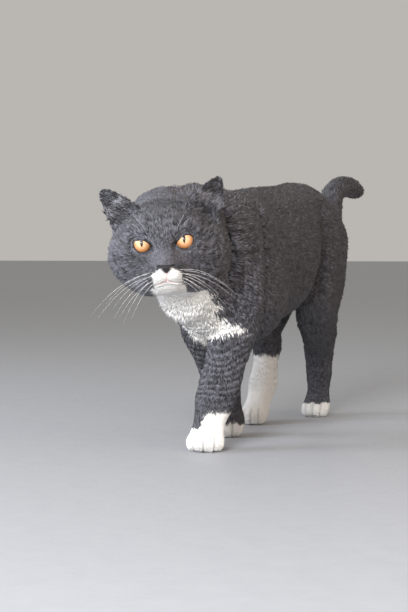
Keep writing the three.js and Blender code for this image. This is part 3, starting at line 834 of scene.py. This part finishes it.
def marks_and_painted_light(points, nodes, lining):
    """How much lighter or darker than plain the coat is: marks of the face, and painted light and shade on
    the face, nape, crown, lids, ears, flanks, folds and toe clefts.
    """
    place = to_head(points)
    on_head = np.isin(nodes, ("head", "nose", "eye_left", "eye_right"))
    shade = np.zeros(len(points))
    for centre, radii, strength in FACE_MARKS_AND_PAINTED_LIGHT:
        shade += MARK_STRENGTH * strength * mound(place, centre, radii)
    shade *= on_head
    # painted light: paler hair along the lower lids and in a ring above the upper ones, where the step of
    # the lids shades the coat
    for side in SIDES:
        seen, past = before_eye(side, points)
        ahead = ramp(seen[:, 2], 0, 4)
        shade += 0.3 * ahead * bell(past, 1.5, 1.5) * ramp(seen[:, 1], -1, -4)
        shade += 0.18 * ahead * bell(past, 2.5, 4.0) * ramp(seen[:, 1], 1, 4)
    # the whisker pads are a shade darker than the bib
    across = np.abs(place[:, 0] - MIDLINE)
    pads = ramp(place[:, 2], -18, -22) * ramp(place[:, 2], -42, -36)
    shade -= 0.3 * ramp(across, 20, 16) * pads * on_head
    # painted light on the top of the nape, and painted shade on the crown in front of it
    shade += 0.45 * ramp(place[:, 2], 24, 32) * ramp(place[:, 1], 46, 58) * ramp(points[:, 1], -180, -215)
    crown = ramp(place[:, 2], 22, 30) * ramp(place[:, 1], 28, 40) * ramp(place[:, 1], 56, 47)
    shade -= 0.2 * crown * on_head
    # painted shade inside each ear, lifted where pale hair grows half way up, and a pale rim
    for side in SIDES:
        up = up_ear(side, points)
        on_ear = nodes == "ear_" + side
        shade += lining * on_ear * (0.36 * ramp(up, 4, 9) * ramp(up, 22, 15) - 0.4)
        shade += 0.08 * ramp(lining, 0.6, 0.1) * on_ear * ramp(place[:, 1], 60, 40)
    # painted shade: the back and the flanks are darker than the face and the neck
    shade -= 0.13 * ramp(points[:, 1], *SHOULDERS)
    # painted shade in each fold, darker the deeper it is
    for line, depth, half in FOLDS:
        shade -= 0.065 * depth * bell(from_line(points, line), half)
    # and painted shade in the clefts between the toes
    return shade - 0.6 * between_toes(points, nodes)


def lip_marking(points):
    """1 on the bare pink skin of the cleft and along the lips."""
    place = to_head(points)
    across = place[:, 0] - MIDLINE
    front = ramp(place[:, 1], 0, -4)
    cleft = ramp(np.abs(across), 1.0, 0.4) * ramp(place[:, 2], -24.5, -25.5) * ramp(place[:, 2], -36, -35)
    lips = ramp(np.abs(place[:, 2] - mouth_level(across)), 1.2, 0.5) * ramp(np.abs(across), 14, 8)
    return front * np.maximum(cleft, lips)


def ear_lining(normals, nodes):
    """1 on the inside of the ears."""
    forward = -(normals @ HEAD_AXES)[:, 1]
    return np.where(np.char.startswith(nodes, "ear"), ramp(forward, 0.1, 0.5), 0.0)


# ------------------------------------------------------------------ the lie of the coat


def way_from_nose(points, edges):
    """Length of the shortest way over the skin from the tip of the nose to each point."""
    lengths = np.linalg.norm(points[edges[:, 0]] - points[edges[:, 1]], axis=1)
    neighbours = [[] for _ in points]
    for (a, b), length in zip(edges.tolist(), lengths.tolist()):
        neighbours[a].append((b, length))
        neighbours[b].append((a, length))
    tip = int(np.argmin(np.linalg.norm(to_head(points) - np.array([MIDLINE, -24, -21]), axis=1)))
    way = [math.inf] * len(points)
    way[tip] = 0.0
    queue = [(0.0, tip)]
    while queue:
        so_far, here = heapq.heappop(queue)
        if so_far > way[here]:
            continue
        for there, length in neighbours[here]:
            if so_far + length < way[there]:
                way[there] = so_far + length
                heapq.heappush(queue, (way[there], there))
    return np.array(way)


def along_skin(vectors, normals):
    """Vectors without the part of them that leaves the skin."""
    return vectors - normals * (vectors * normals).sum(1, keepdims=True)


def lie_of_coat(points, edges, nodes, normals):
    """Direction of the hair at each point, and the length of the way to it from the nose.

    Hair lies away from the nose, turned down on the body and the legs and forward on the paws.
    """
    way = averaged(way_from_nose(points, edges), edges, 8)
    a, b = edges.T
    step = points[b] - points[a]
    pull = step * ((way[b] - way[a]) / np.maximum((step ** 2).sum(1), 1e-6))[:, None]
    flow = np.stack([np.bincount(a, p, len(points)) + np.bincount(b, p, len(points)) for p in pull.T], 1)
    flow = unit(along_skin(flow, normals))
    down = np.array([0.0, 0.0, -1.0])
    ahead = np.array([0.0, -1.0, 0.0])
    kinds = by_node(nodes, kind_of)
    flow += np.isin(kinds, ("trunk", "neck"))[:, None] * 0.3 * down
    flow += np.isin(kinds, ("upper_arm", "thigh"))[:, None] * 0.5 * down
    flow += np.isin(kinds, ("forearm", "shank"))[:, None] * 0.9 * down
    flow += (kinds == "paw")[:, None] * (0.6 * down + 1.2 * ahead)
    flow = averaged(flow, edges, 10)
    # round each eye the hair lies away from the ball
    for side in SIDES:
        seen = on_ball(side, points)
        close = (ramp(np.linalg.norm(seen, axis=1), 26, 12) * ramp(seen[:, 2], 0, 5))[:, None]
        away = seen.copy()
        away[:, 2] = 0
        flow += 1.1 * close * unit(off_ball(side, away) - BALLS[side])
    return unit(averaged(unit(along_skin(flow, normals)), edges, 3)), way


# ------------------------------------------------------------------ the coat


def unwrapped(skin):
    """A bake map of the skin's own shape; returns the map's place at each corner of each triangle."""
    bpy.context.view_layer.objects.active = skin
    skin.select_set(True)
    skin.data.uv_layers.new(name="OFBake")
    bpy.ops.object.mode_set(mode="EDIT")
    bpy.ops.mesh.select_all(action="SELECT")
    bpy.ops.uv.smart_project(angle_limit=math.radians(72), island_margin=0.002)
    bpy.ops.object.mode_set(mode="OBJECT")
    flat = np.zeros(len(skin.data.loops) * 2, np.float32)
    skin.data.uv_layers["OFBake"].data.foreach_get("uv", flat)
    return flat.reshape(-1, 3, 2)


def coat_roots(points, triangles, fields, bare, rng):
    """Triangle and place in it of each tuft's root, closer together where tufts are small."""
    area = np.linalg.norm(face_normals(points, triangles), axis=1) / 2
    size = fields[triangles].mean(1)
    share = 1 - bare[triangles].max(1)
    wanted = area * COAT_LAYERS / (TUFT_AREA * size[:, 0] * size[:, 1]) * share
    total = np.cumsum(wanted)
    count = int(total[-1])
    at = np.searchsorted(total, (np.arange(count) + rng.random(count)) * total[-1] / count)
    at = np.minimum(at, len(triangles) - 1)
    part = rng.random((count, 2))
    part = np.where(part.sum(1, keepdims=True) > 1, 1 - part, part)
    return at, np.concatenate([1 - part.sum(1, keepdims=True), part], 1)


def leaders_of(roots):
    """The nearest leading tuft to each tuft, so that the coat breaks into locks."""
    leaders = np.arange(0, len(roots), TUFTS_IN_LOCK)
    tree = KDTree(len(leaders))
    for order, leader in enumerate(leaders):
        tree.insert(roots[leader], order)
    tree.balance()
    return leaders[[tree.find(root)[1] for root in roots]]


def make_coat(name, chosen, tufts):
    """Tufts as closed kites of four triangles, bent at their broad middle.

    Each tuft has its tone at the root, in the middle and at the tip.
    """
    roots, mids, tips, side, white, tone, spots = (values[chosen] for values in tufts)
    points = np.stack([roots, mids - side, mids + side, tips], 1).reshape(-1, 3)
    root, left, right, tip = range(4)
    kite = np.array([(root, left, right), (left, tip, right), (root, right, tip), (root, tip, left)])
    faces = (np.arange(len(roots))[:, None, None] * 4 + kite).reshape(-1, 3)
    fields = {
        "white": np.repeat(white, 4),
        "tone": tone[:, [0, 1, 1, 2]].ravel(),
        # how far from root to tip colour each corner is
        "tip": np.tile([0.0, 0.6, 0.6, 1.0], len(roots)),
    }
    coat = make_object(name, points, faces, GUARD_HAIR, fields)
    half = BAKE_PATCH / 2
    patch = np.array([(0, -half), (-half, 0), (half, 0), (0, half)])
    places = (spots[:, None, :] + patch).reshape(-1, 2)
    bake = coat.data.uv_layers.new(name="OFBake")
    bake.data.foreach_set("uv", places[faces.ravel()].astype(np.float32).ravel())
    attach(coat, "root")


def region_of(node):
    """The name of the coat piece that a CAD node's hair goes into."""
    kind = kind_of(node)
    if kind in ("head", "nose", "eye", "ear"):
        return "head"
    if kind in ("upper_arm", "forearm", "thigh", "shank", "paw"):
        return "fore_legs" if node.startswith("fore") else "hind_legs"
    return kind


def lay_coat(points, triangles, normals, nodes, fields, lie, white, shade, bare, corner_spots):
    """The whole coat, tuft by tuft, and then its pieces."""
    rng = np.random.default_rng(7)
    flow, way = lie
    at, part = coat_roots(points, triangles, fields, bare, rng)
    corners = triangles[at]

    def blended(values):
        return (values[corners] * part.reshape(part.shape + (1,) * (values.ndim - 1))).sum(1)

    roots = blended(points)
    normal = unit(blended(normals))
    length, width, stand, gather, ripple = blended(fields).T
    count = len(roots)
    # the hair wanders a little from its lie, slowly over the coat and from tuft to tuft
    wander = np.stack([lumps(roots, 9.0, seed) - 0.5 for seed in (1, 2, 3)], 1)
    along = unit(blended(flow)) + 0.55 * wander + rng.normal(0, 0.13, (count, 3))
    along = unit(along_skin(along, normal))
    length = length * rng.uniform(0.75, 1.2, count)
    # crests of the ripples cross the lie of the coat, bent by slow noise
    turns = blended(way) / RIPPLE + 1.7 * lumps(roots, 26.0, 41)
    # at the root, the middle and the tip of each tuft
    places = turns[:, None] + length[:, None] / RIPPLE * np.array([0.0, TUFT_MIDDLE, 1.0])
    troughs = ripple[:, None] * (0.5 + 0.5 * np.sin(2 * math.pi * places)) ** 2
    mixed = blended(white)
    # along a border white and blue tufts mix; the faint pale of the ears stays a shade of blue
    marking = np.where(mixed > 0.1, mixed > rng.random(count), mixed)
    # white hair is smoother and varies less than blue
    raised = stand * (0.75 + 0.7 * lumps(roots, 7.0, 4) - 0.55 * troughs[:, 1]) * (1 - 0.6 * marking)
    lift = np.radians(raised + rng.normal(0, 4.0, count))[:, None]
    reach = length[:, None]
    tips = roots + reach * (np.cos(lift) * along + np.sin(lift) * normal)
    early = lift + math.radians(TUFT_BEND)
    mids = roots + TUFT_MIDDLE * reach * (np.cos(early) * along + np.sin(early) * normal)
    leader = leaders_of(roots)
    tips += (tips[leader] - tips) * (gather * (1 - 0.85 * marking))[:, None]
    side = np.cross(normal, along) * (width / 2)[:, None]
    lock = rng.normal(0, 0.25, count)[leader] + rng.normal(0, 0.16, count)
    patchy = 0.18 * (lumps(roots, 11.0, 5) - 0.5) + 0.35 * (lumps(roots, 2.6, 6) - 0.5)
    # the flanks are calmer than the face and the neck
    calm = 1 - 0.4 * ramp(roots[:, 1], *SHOULDERS)
    own_shade = blended(shade)[:, None]
    tone = BLUE_TONE + (calm * (patchy + lock))[:, None] + own_shade
    # painted shade in the ripples' troughs; on the whole it leaves the coat's tone as it is
    tone = tone - 0.55 * (troughs - 0.37 * ripple[:, None])
    quiet = WHITE_TONE + 0.07 * (tone - BLUE_TONE) + 0.2 * own_shade
    tone = np.clip(np.where(marking[:, None] > 0.5, quiet, tone), 0, 1)
    feet = roots - normal * ROOT_DEPTH
    feet[:, 2] = np.maximum(feet[:, 2], FLOOR_GAP)
    tips[:, 2] = np.maximum(tips[:, 2], FLOOR_GAP)
    mids[:, 2] = np.maximum(mids[:, 2], 4 * FLOOR_GAP)
    # a tuft that is bent the other way has its sides swapped, so that its faces look outward
    bend = (np.cross(mids - side - feet, mids + side - feet) * (tips - feet)).sum(1)
    side = side * np.where(bend > 0, -1.0, 1.0)[:, None]
    spots = (corner_spots[at] * part[:, :, None]).sum(1)
    tufts = (feet, mids, tips, side, marking, tone, spots)
    split_coat(by_node(nodes[corners[:, 0]], region_of), marking, roots, tufts)


def split_coat(region, marking, roots, tufts):
    """The coat's pieces, by region and colour, each cut from front to back to keep within its size."""
    for name in np.unique(region):
        for colour, alike in (("blue", marking <= 0.5), ("white", marking > 0.5)):
            chosen = np.flatnonzero((region == name) & alike)
            order = chosen[np.argsort(roots[chosen, 1], kind="stable")]
            pieces = math.ceil(len(order) / TUFTS_IN_PIECE)
            for number, piece in enumerate(np.array_split(order, max(1, pieces))):
                if len(piece):
                    ending = f"_{number + 1}" if pieces > 1 else ""
                    make_coat(f"coat_{colour}_{name}{ending}", piece, tufts)


# ------------------------------------------------------------------ eyes, lids and nose


def between_rings(first, second, count):
    """Faces that join two rings of so many points, given the number of each ring's first point."""
    here = range(count)
    return [(first + a, second + a, second + (a + 1) % count, first + (a + 1) % count) for a in here]


def eyeball(side):
    """The ball with its bulging cornea, drawn in rings round the line of sight."""
    around = np.linspace(0, 2 * math.pi, 64, endpoint=False)
    down = np.linspace(0, math.pi, 49)[1:-1]
    rings = np.stack([
        np.sin(down)[:, None] * np.cos(around),
        np.sin(down)[:, None] * np.sin(around),
        np.repeat(np.cos(down)[:, None], len(around), 1),
    ], 2).reshape(-1, 3)
    ball = np.concatenate([[(0, 0, 1)], rings, [(0, 0, -1)]]) * EYEBALL_RADIUS
    off_axis = np.hypot(ball[:, 0], ball[:, 1])
    ball[:, 2] += CORNEA_BULGE * ramp(off_axis, IRIS_RADIUS, 0) * (ball[:, 2] > 0)
    count = len(around)
    end = len(ball) - 1
    triangles = [(0, 1 + a, 1 + (a + 1) % count) for a in range(count)]
    for ring in range(len(down) - 1):
        for a, b, c, d in between_rings(1 + ring * count, 1 + (ring + 1) * count, count):
            triangles += [(a, b, c), (a, c, d)]
    triangles += [(end, end - count + (a + 1) % count, end - count + a) for a in range(count)]
    tilt = math.radians(GAZE_UP)
    seen = np.stack([
        ball[:, 0],
        ball[:, 1] * math.cos(tilt) + ball[:, 2] * math.sin(tilt),
        ball[:, 2] * math.cos(tilt) - ball[:, 1] * math.sin(tilt),
    ], 1)
    faces = np.array(triangles)
    if SIDES[side] > 0:
        faces = faces[:, ::-1]
    fields = {"across": ball[:, 0], "above": ball[:, 1]}
    made = make_object("eyeball_" + side, off_ball(side, seen), faces, COPPER_EYE, fields)
    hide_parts("eye_" + side)
    return made


def lid_rim(side):
    """The dark moist edge of the lids, a closed ring on the ball, thicker at the tear duct and thicker
    above, where its extra width is painted shadow of the upper lid.
    """
    line = LID_OUTLINES[side]
    # the extra width above is painted shadow of the upper lid
    radius = LID_RIM + 0.35 * ramp(line[:, 0], -6.5, -9.0) + 0.45 * ramp(line[:, 1], 1, 5)
    height = np.sqrt((EYEBALL_RADIUS + 0.5) ** 2 - (line ** 2).sum(1))
    centre = np.stack([line[:, 0], line[:, 1], height], 1)
    ahead = unit(np.roll(centre, -1, 0) - np.roll(centre, 1, 0))
    out = unit(centre)
    across = np.cross(out, ahead)
    angles = np.arange(LID_RIM_SIDES) * 2 * math.pi / LID_RIM_SIDES
    ring = [centre + radius[:, None] * (math.cos(t) * across + math.sin(t) * out) for t in angles]
    points = np.stack(ring, 1).reshape(-1, 3)
    count = len(line)
    faces = []
    for ring in range(count):
        faces += between_rings(ring * LID_RIM_SIDES, (ring + 1) % count * LID_RIM_SIDES, LID_RIM_SIDES)
    faces = np.array(faces)
    if SIDES[side] < 0:
        faces = faces[:, ::-1]
    return make_object("lid_rim_" + side, off_ball(side, points), faces, LID_SKIN)


def soft_union(first, second, blend):
    """Two distance fields joined with a fillet."""
    near = np.clip(0.5 + (second - first) / (2 * blend), 0, 1)
    return second + (first - second) * near - blend * near * (1 - near)


def egg(points, centre, radii):
    """About the distance from an ellipsoid."""
    scaled = (points - np.array(centre)) / np.array(radii)
    reach = np.linalg.norm(scaled, axis=-1)
    return (reach - 1) * min(radii)


def nose_leather():
    """The bare nose: a rounded triangle, pointed below, with comma nostrils and a cleft."""
    low = np.array([MIDLINE - 12, -28.0, -31.0])
    size = np.array([24.0, 18.0, 18.0])
    counts = np.ceil(size / NOSE_CELL).astype(int)
    places = low + np.stack(np.meshgrid(*[np.arange(n) for n in counts], indexing="ij"), -1) * NOSE_CELL
    across = places[..., 0] - MIDLINE
    up = places[..., 2]
    before = nose_front(across, up) - places[..., 1]
    edge = nose_edge(across, up)
    # the rim is rounded over where the front meets the outline
    shape = soft_max(before, edge, 0.7)
    shape = np.maximum(shape, places[..., 1] - NOSE_BACK)
    for way in (-1, 1):
        pit, slit = (
            egg(places, (MIDLINE + way * out, forward, up), radii)
            for (out, forward, up), radii in (NOSTRIL_PIT, NOSTRIL_SLIT)
        )
        shape = np.maximum(shape, -soft_union(pit, slit, 0.5))
    # the cleft runs down from between the nostrils
    cleft = np.maximum(np.abs(across) - 0.3, up + 22.5)
    shape = np.maximum(shape, -np.maximum(cleft, places[..., 1] + 23.3))
    grid = openvdb.FloatGrid(9.0)
    grid.copyFromArray(shape.astype(np.float32))
    points, quads = grid.convertToQuads(isovalue=0.0)
    made = make_object("nose_leather", from_head(low + points * NOSE_CELL), quads, NOSE_LEATHER)
    body = bmesh.new()
    body.from_mesh(made.data)
    bmesh.ops.recalc_face_normals(body, faces=body.faces)
    body.to_mesh(made.data)
    body.free()
    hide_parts("nose")
    return made


# ------------------------------------------------------------------ whiskers and long hairs


def bristle_tree():
    """Geometry Nodes that turn lines into tapered round bristles."""
    tree = bpy.data.node_groups.new("bristles_along_lines", "GeometryNodeTree")
    for label, kind, in_out in (
        ("Lines", "NodeSocketGeometry", "INPUT"), ("Thickness", "NodeSocketFloat", "INPUT"),
        ("Sides", "NodeSocketInt", "INPUT"), ("Finish", "NodeSocketMaterial", "INPUT"),
        ("Bristles", "NodeSocketGeometry", "OUTPUT"),
    ):
        tree.interface.new_socket(label, in_out=in_out, socket_type=kind)
    given = add(tree, "NodeGroupInput")
    taper = add(tree, "GeometryNodeInputNamedAttribute", {"Name": "taper"}, data_type="FLOAT")
    curve = add(tree, "GeometryNodeMeshToCurve", {"Mesh": given.outputs["Lines"]})
    thick = add(tree, "ShaderNodeMath", {
        0: taper.outputs["Attribute"], 1: given.outputs["Thickness"],
    }, operation="MULTIPLY")
    round_profile = add(tree, "GeometryNodeCurvePrimitiveCircle", {
        "Resolution": given.outputs["Sides"], "Radius": 0.5,
    })
    solid = add(tree, "GeometryNodeCurveToMesh", {
        "Curve": curve.outputs[0], "Profile Curve": round_profile.outputs[0],
        "Scale": thick.outputs[0], "Fill Caps": True,
    })
    real = add(tree, "GeometryNodeRealizeInstances", {"Geometry": solid.outputs[0]})
    smooth = add(tree, "GeometryNodeSetShadeSmooth", {"Geometry": real.outputs[0]})
    finished = add(tree, "GeometryNodeSetMaterial", {
        "Geometry": smooth.outputs[0], "Material": given.outputs["Finish"],
    })
    add(tree, "NodeGroupOutput", {"Bristles": finished.outputs[0]})
    return tree


BRISTLES = bristle_tree()


def make_bristles(name, lines, thickness):
    """Tapered bristles of a given thickness in mm along lines of points."""
    points = np.concatenate(lines)
    taper = np.concatenate([1 - 0.85 * np.linspace(0, 1, len(line)) ** 1.5 for line in lines])
    edges = []
    start = 0
    for line in lines:
        edges += [(start + i, start + i + 1) for i in range(len(line) - 1)]
        start += len(line)
    mesh = bpy.data.meshes.new(name)
    mesh.from_pydata((points * MM).tolist(), edges, [])
    mesh.attributes.new("taper", "FLOAT", "POINT").data.foreach_set("value", taper.astype(np.float32))
    source = placed(name + "_lines", mesh)
    modifier = source.modifiers.new("bristles", "NODES")
    modifier.node_group = BRISTLES
    given = {"Thickness": thickness * MM, "Sides": BRISTLE_SIDES, "Finish": WHISKER}
    for item in BRISTLES.interface.items_tree:
        if item.in_out == "INPUT" and item.name in given:
            modifier[item.identifier] = given[item.name]
    made = placed(name, from_modifier(source))
    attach(made, "root")


def bristle_line(root, way, length, droop):
    """A line in the head frame that leaves the root one way and bends down under its own weight."""
    t = np.linspace(0, 1, BRISTLE_STEPS)[:, None]
    return np.array(root) + length * (t * unit(np.array(way, float)) + t ** 2 * np.array(droop))


def whiskers(surface):
    """Rows of whiskers on each pad and a few long hairs over each eye, set into the skin.

    The rows go down the pad, and each row's hairs back from the nose.
    """
    rng = np.random.default_rng(11)
    lines = []
    brows = []
    for side in SIDES.values():
        for row in range(WHISKER_ROWS):
            for place in range(WHISKERS_IN_ROW):
                out = MIDLINE + side * (10.5 + 6.5 * place + 0.8 * row)
                root = np.array([out, -16 + 3.6 * place, -26.0 - 2.8 * row - 1.2 * place])
                length = (60 + 10 * rng.random()) * (1 - 0.13 * row) * (0.84 + 0.1 * place)
                up = 0.08 - 0.2 * row - 0.1 * place + 0.06 * rng.normal()
                way = (side, -0.28 + 0.2 * place, up)
                droop = (0.0, 0.12, -0.5 - 0.1 * rng.random())
                lines.append(bristle_line(root, way, length, droop))
        for hair in range(BROW_HAIRS):
            root = np.array([side * (15 + 4.0 * hair), -2 + hair, 13.5 + 1.0 * hair])
            way = (side * (0.5 + 0.3 * hair), -0.25, 1.0 - 0.12 * hair)
            brows.append(bristle_line(root, way, 34 - 4.0 * hair, (side * 0.1, 0.3, -0.05)))
    for name, group, thickness in (
        ("whiskers", lines, WHISKER_THICKNESS), ("brow_hairs", brows, BROW_THICKNESS),
    ):
        rooted = []
        for line in map(from_head, group):
            foot = surface.find_nearest(line[0])[0]
            rooted.append(line + (np.array(foot) - line[0]))
        make_bristles(name, rooted, thickness)


# ------------------------------------------------------------------ light, floor and camera


def aimed(location, target):
    """A rotation that looks from one place, in metres, at another."""
    way = np.array(target) - np.array(location)
    level = math.hypot(way[0], way[1])
    return (math.atan2(level, -way[2]), 0.0, math.atan2(-way[0], way[1]))


def soft_light(name, location, target, size, power, colour):
    """A square studio soft box."""
    light = bpy.data.lights.new(name, "AREA")
    light.size = size
    light.energy = power
    light.color = linear(colour)[:3]
    made = placed(name, light)
    made.location = location
    made.rotation_euler = aimed(location, target)


def studio():
    """A pale floor, an even pale surround and soft boxes, most of them in front."""
    corners = np.array([(-1, -1, 0), (1, -1, 0), (1, 1, 0), (-1, 1, 0)]) * FLOOR_HALF
    floor = make_object("floor", corners, [(0, 1, 2, 3)], FLOOR_PAINT)
    world = bpy.data.worlds.new("pale_surround")
    world.use_nodes = True
    surround = world.node_tree.nodes["Background"]
    surround.inputs["Color"].default_value = linear(SURROUND[0])
    surround.inputs["Strength"].default_value = SURROUND[1]
    bpy.context.scene.world = world
    for box in SOFT_BOXES:
        soft_light(*box)
    bpy.context.scene.view_settings.view_transform = "Standard"


def camera():
    """A long lens about level with the cat's eyes, looking slightly down."""
    lens = bpy.data.cameras.new("camera")
    lens.lens = LENS
    lens.sensor_width = 36.0
    lens.dof.use_dof = False
    made = placed("camera", lens)
    made.location = (BETWEEN_EYES + FROM_EYES_TO_CAMERA) * MM
    made.rotation_euler = (math.radians(90 - CAMERA_DOWN), 0, math.radians(CAMERA_TURN))
    bpy.context.scene.camera = made


# ------------------------------------------------------------------ the cat


def smoothed(points, edges, nodes):
    """The body without the solids' corners, and how far each point belongs to an ear.

    The broad masses are smoothed most and the ears least.
    """
    ears = averaged(np.char.startswith(nodes, "ear").astype(float), edges, 4)
    broad = np.isin(by_node(nodes, kind_of), ("trunk", "neck", "upper_arm", "thigh", "tail"))
    # and the back of the head
    broad |= (nodes == "head") & (to_head(points)[:, 1] > 46)
    broad = averaged(broad.astype(float), edges, 7)
    points = averaged(points, edges, 7, 0.9 * (1 - 0.95 * ears))
    return averaged(points, edges, 14, 0.9 * broad * (1 - ears)), ears


def bare_skin(points, lip, lining):
    """1 where no tuft grows: lips, between the lids, under the nose leather and on the soles."""
    bare = np.maximum(lip, 0.3 * lining)
    for side in SIDES:
        seen, past = before_eye(side, points)
        bare = np.maximum(bare, ramp(past, 0.4, 0.1) * ramp(seen[:, 2], 0, 4))
    place = to_head(points)
    nose_spot = ramp(nose_edge(place[:, 0] - MIDLINE, place[:, 2]), 0.5, 0.0) * ramp(place[:, 1], -8, -12)
    bare = np.maximum(bare, nose_spot)
    return np.maximum(bare, ramp(points[:, 2], 1.5, 0.6))


def skin_and_coat():
    """The skin in one piece and the coat on it; returns the skin's surface for what is set into it."""
    points, triangles, nodes = remade_body()
    edges = edges_of(triangles)
    points, ears = smoothed(points, edges, nodes)
    fields = coat_fields(points, nodes, edges)
    # the skin goes in by the height that the tufts stand to
    depth = 0.8 * fields[:, 0] * np.sin(np.radians(fields[:, 2])) + 0.3
    depth = depth * (1 - 0.85 * ears)
    points = points - averaged(normals_of(points, triangles), edges, 3) * depth[:, None]
    normals = averaged(normals_of(points, triangles), edges, 3)
    points = folded(points, normals) - normals * (1.3 * between_toes(points, nodes))[:, None]
    points = shaped_lids(shaped_muzzle(points))
    points[:, 2] = np.maximum(points[:, 2], 2 * FLOOR_GAP)
    normals = normals_of(points, triangles)
    lip = lip_marking(points)
    lining = ear_lining(normals, nodes)
    white = white_marking(points, nodes, lining)
    shade = marks_and_painted_light(points, nodes, lining)
    skin = make_object("skin", points, triangles, UNDERCOAT, {
        "white": white, "lip": lip, "ear_lining": lining, "tip": np.full(len(points), 0.4),
        "tone": np.clip(0.25 + 0.4 * lumps(points, 8.0, 31) + shade, 0, 1),
    })
    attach(skin, "root")
    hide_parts(*[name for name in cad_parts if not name.startswith(("eye", "nose"))])
    corner_spots = unwrapped(skin)
    lie = lie_of_coat(points, edges, nodes, normals)
    # longer hair that stands up inside the ears
    for side in SIDES:
        up = up_ear(side, points)
        band = lining * ramp(up, 4, 10) * ramp(up, 30, 20) * (nodes == "ear_" + side)
        for column, more in zip((0, 2), IN_THE_EARS):
            fields[:, column] += more * band
    bare = bare_skin(points, lip, lining)
    lay_coat(points, triangles, normals, nodes, fields, lie, white, shade, bare, corner_spots)
    return BVHTree.FromPolygons(points.tolist(), triangles.tolist())


camera()
studio()
surface = skin_and_coat()
for side in SIDES:
    for piece in (eyeball(side), lid_rim(side)):
        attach(piece, "root")
nose = nose_leather()
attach(nose, "root")
whiskers(surface)
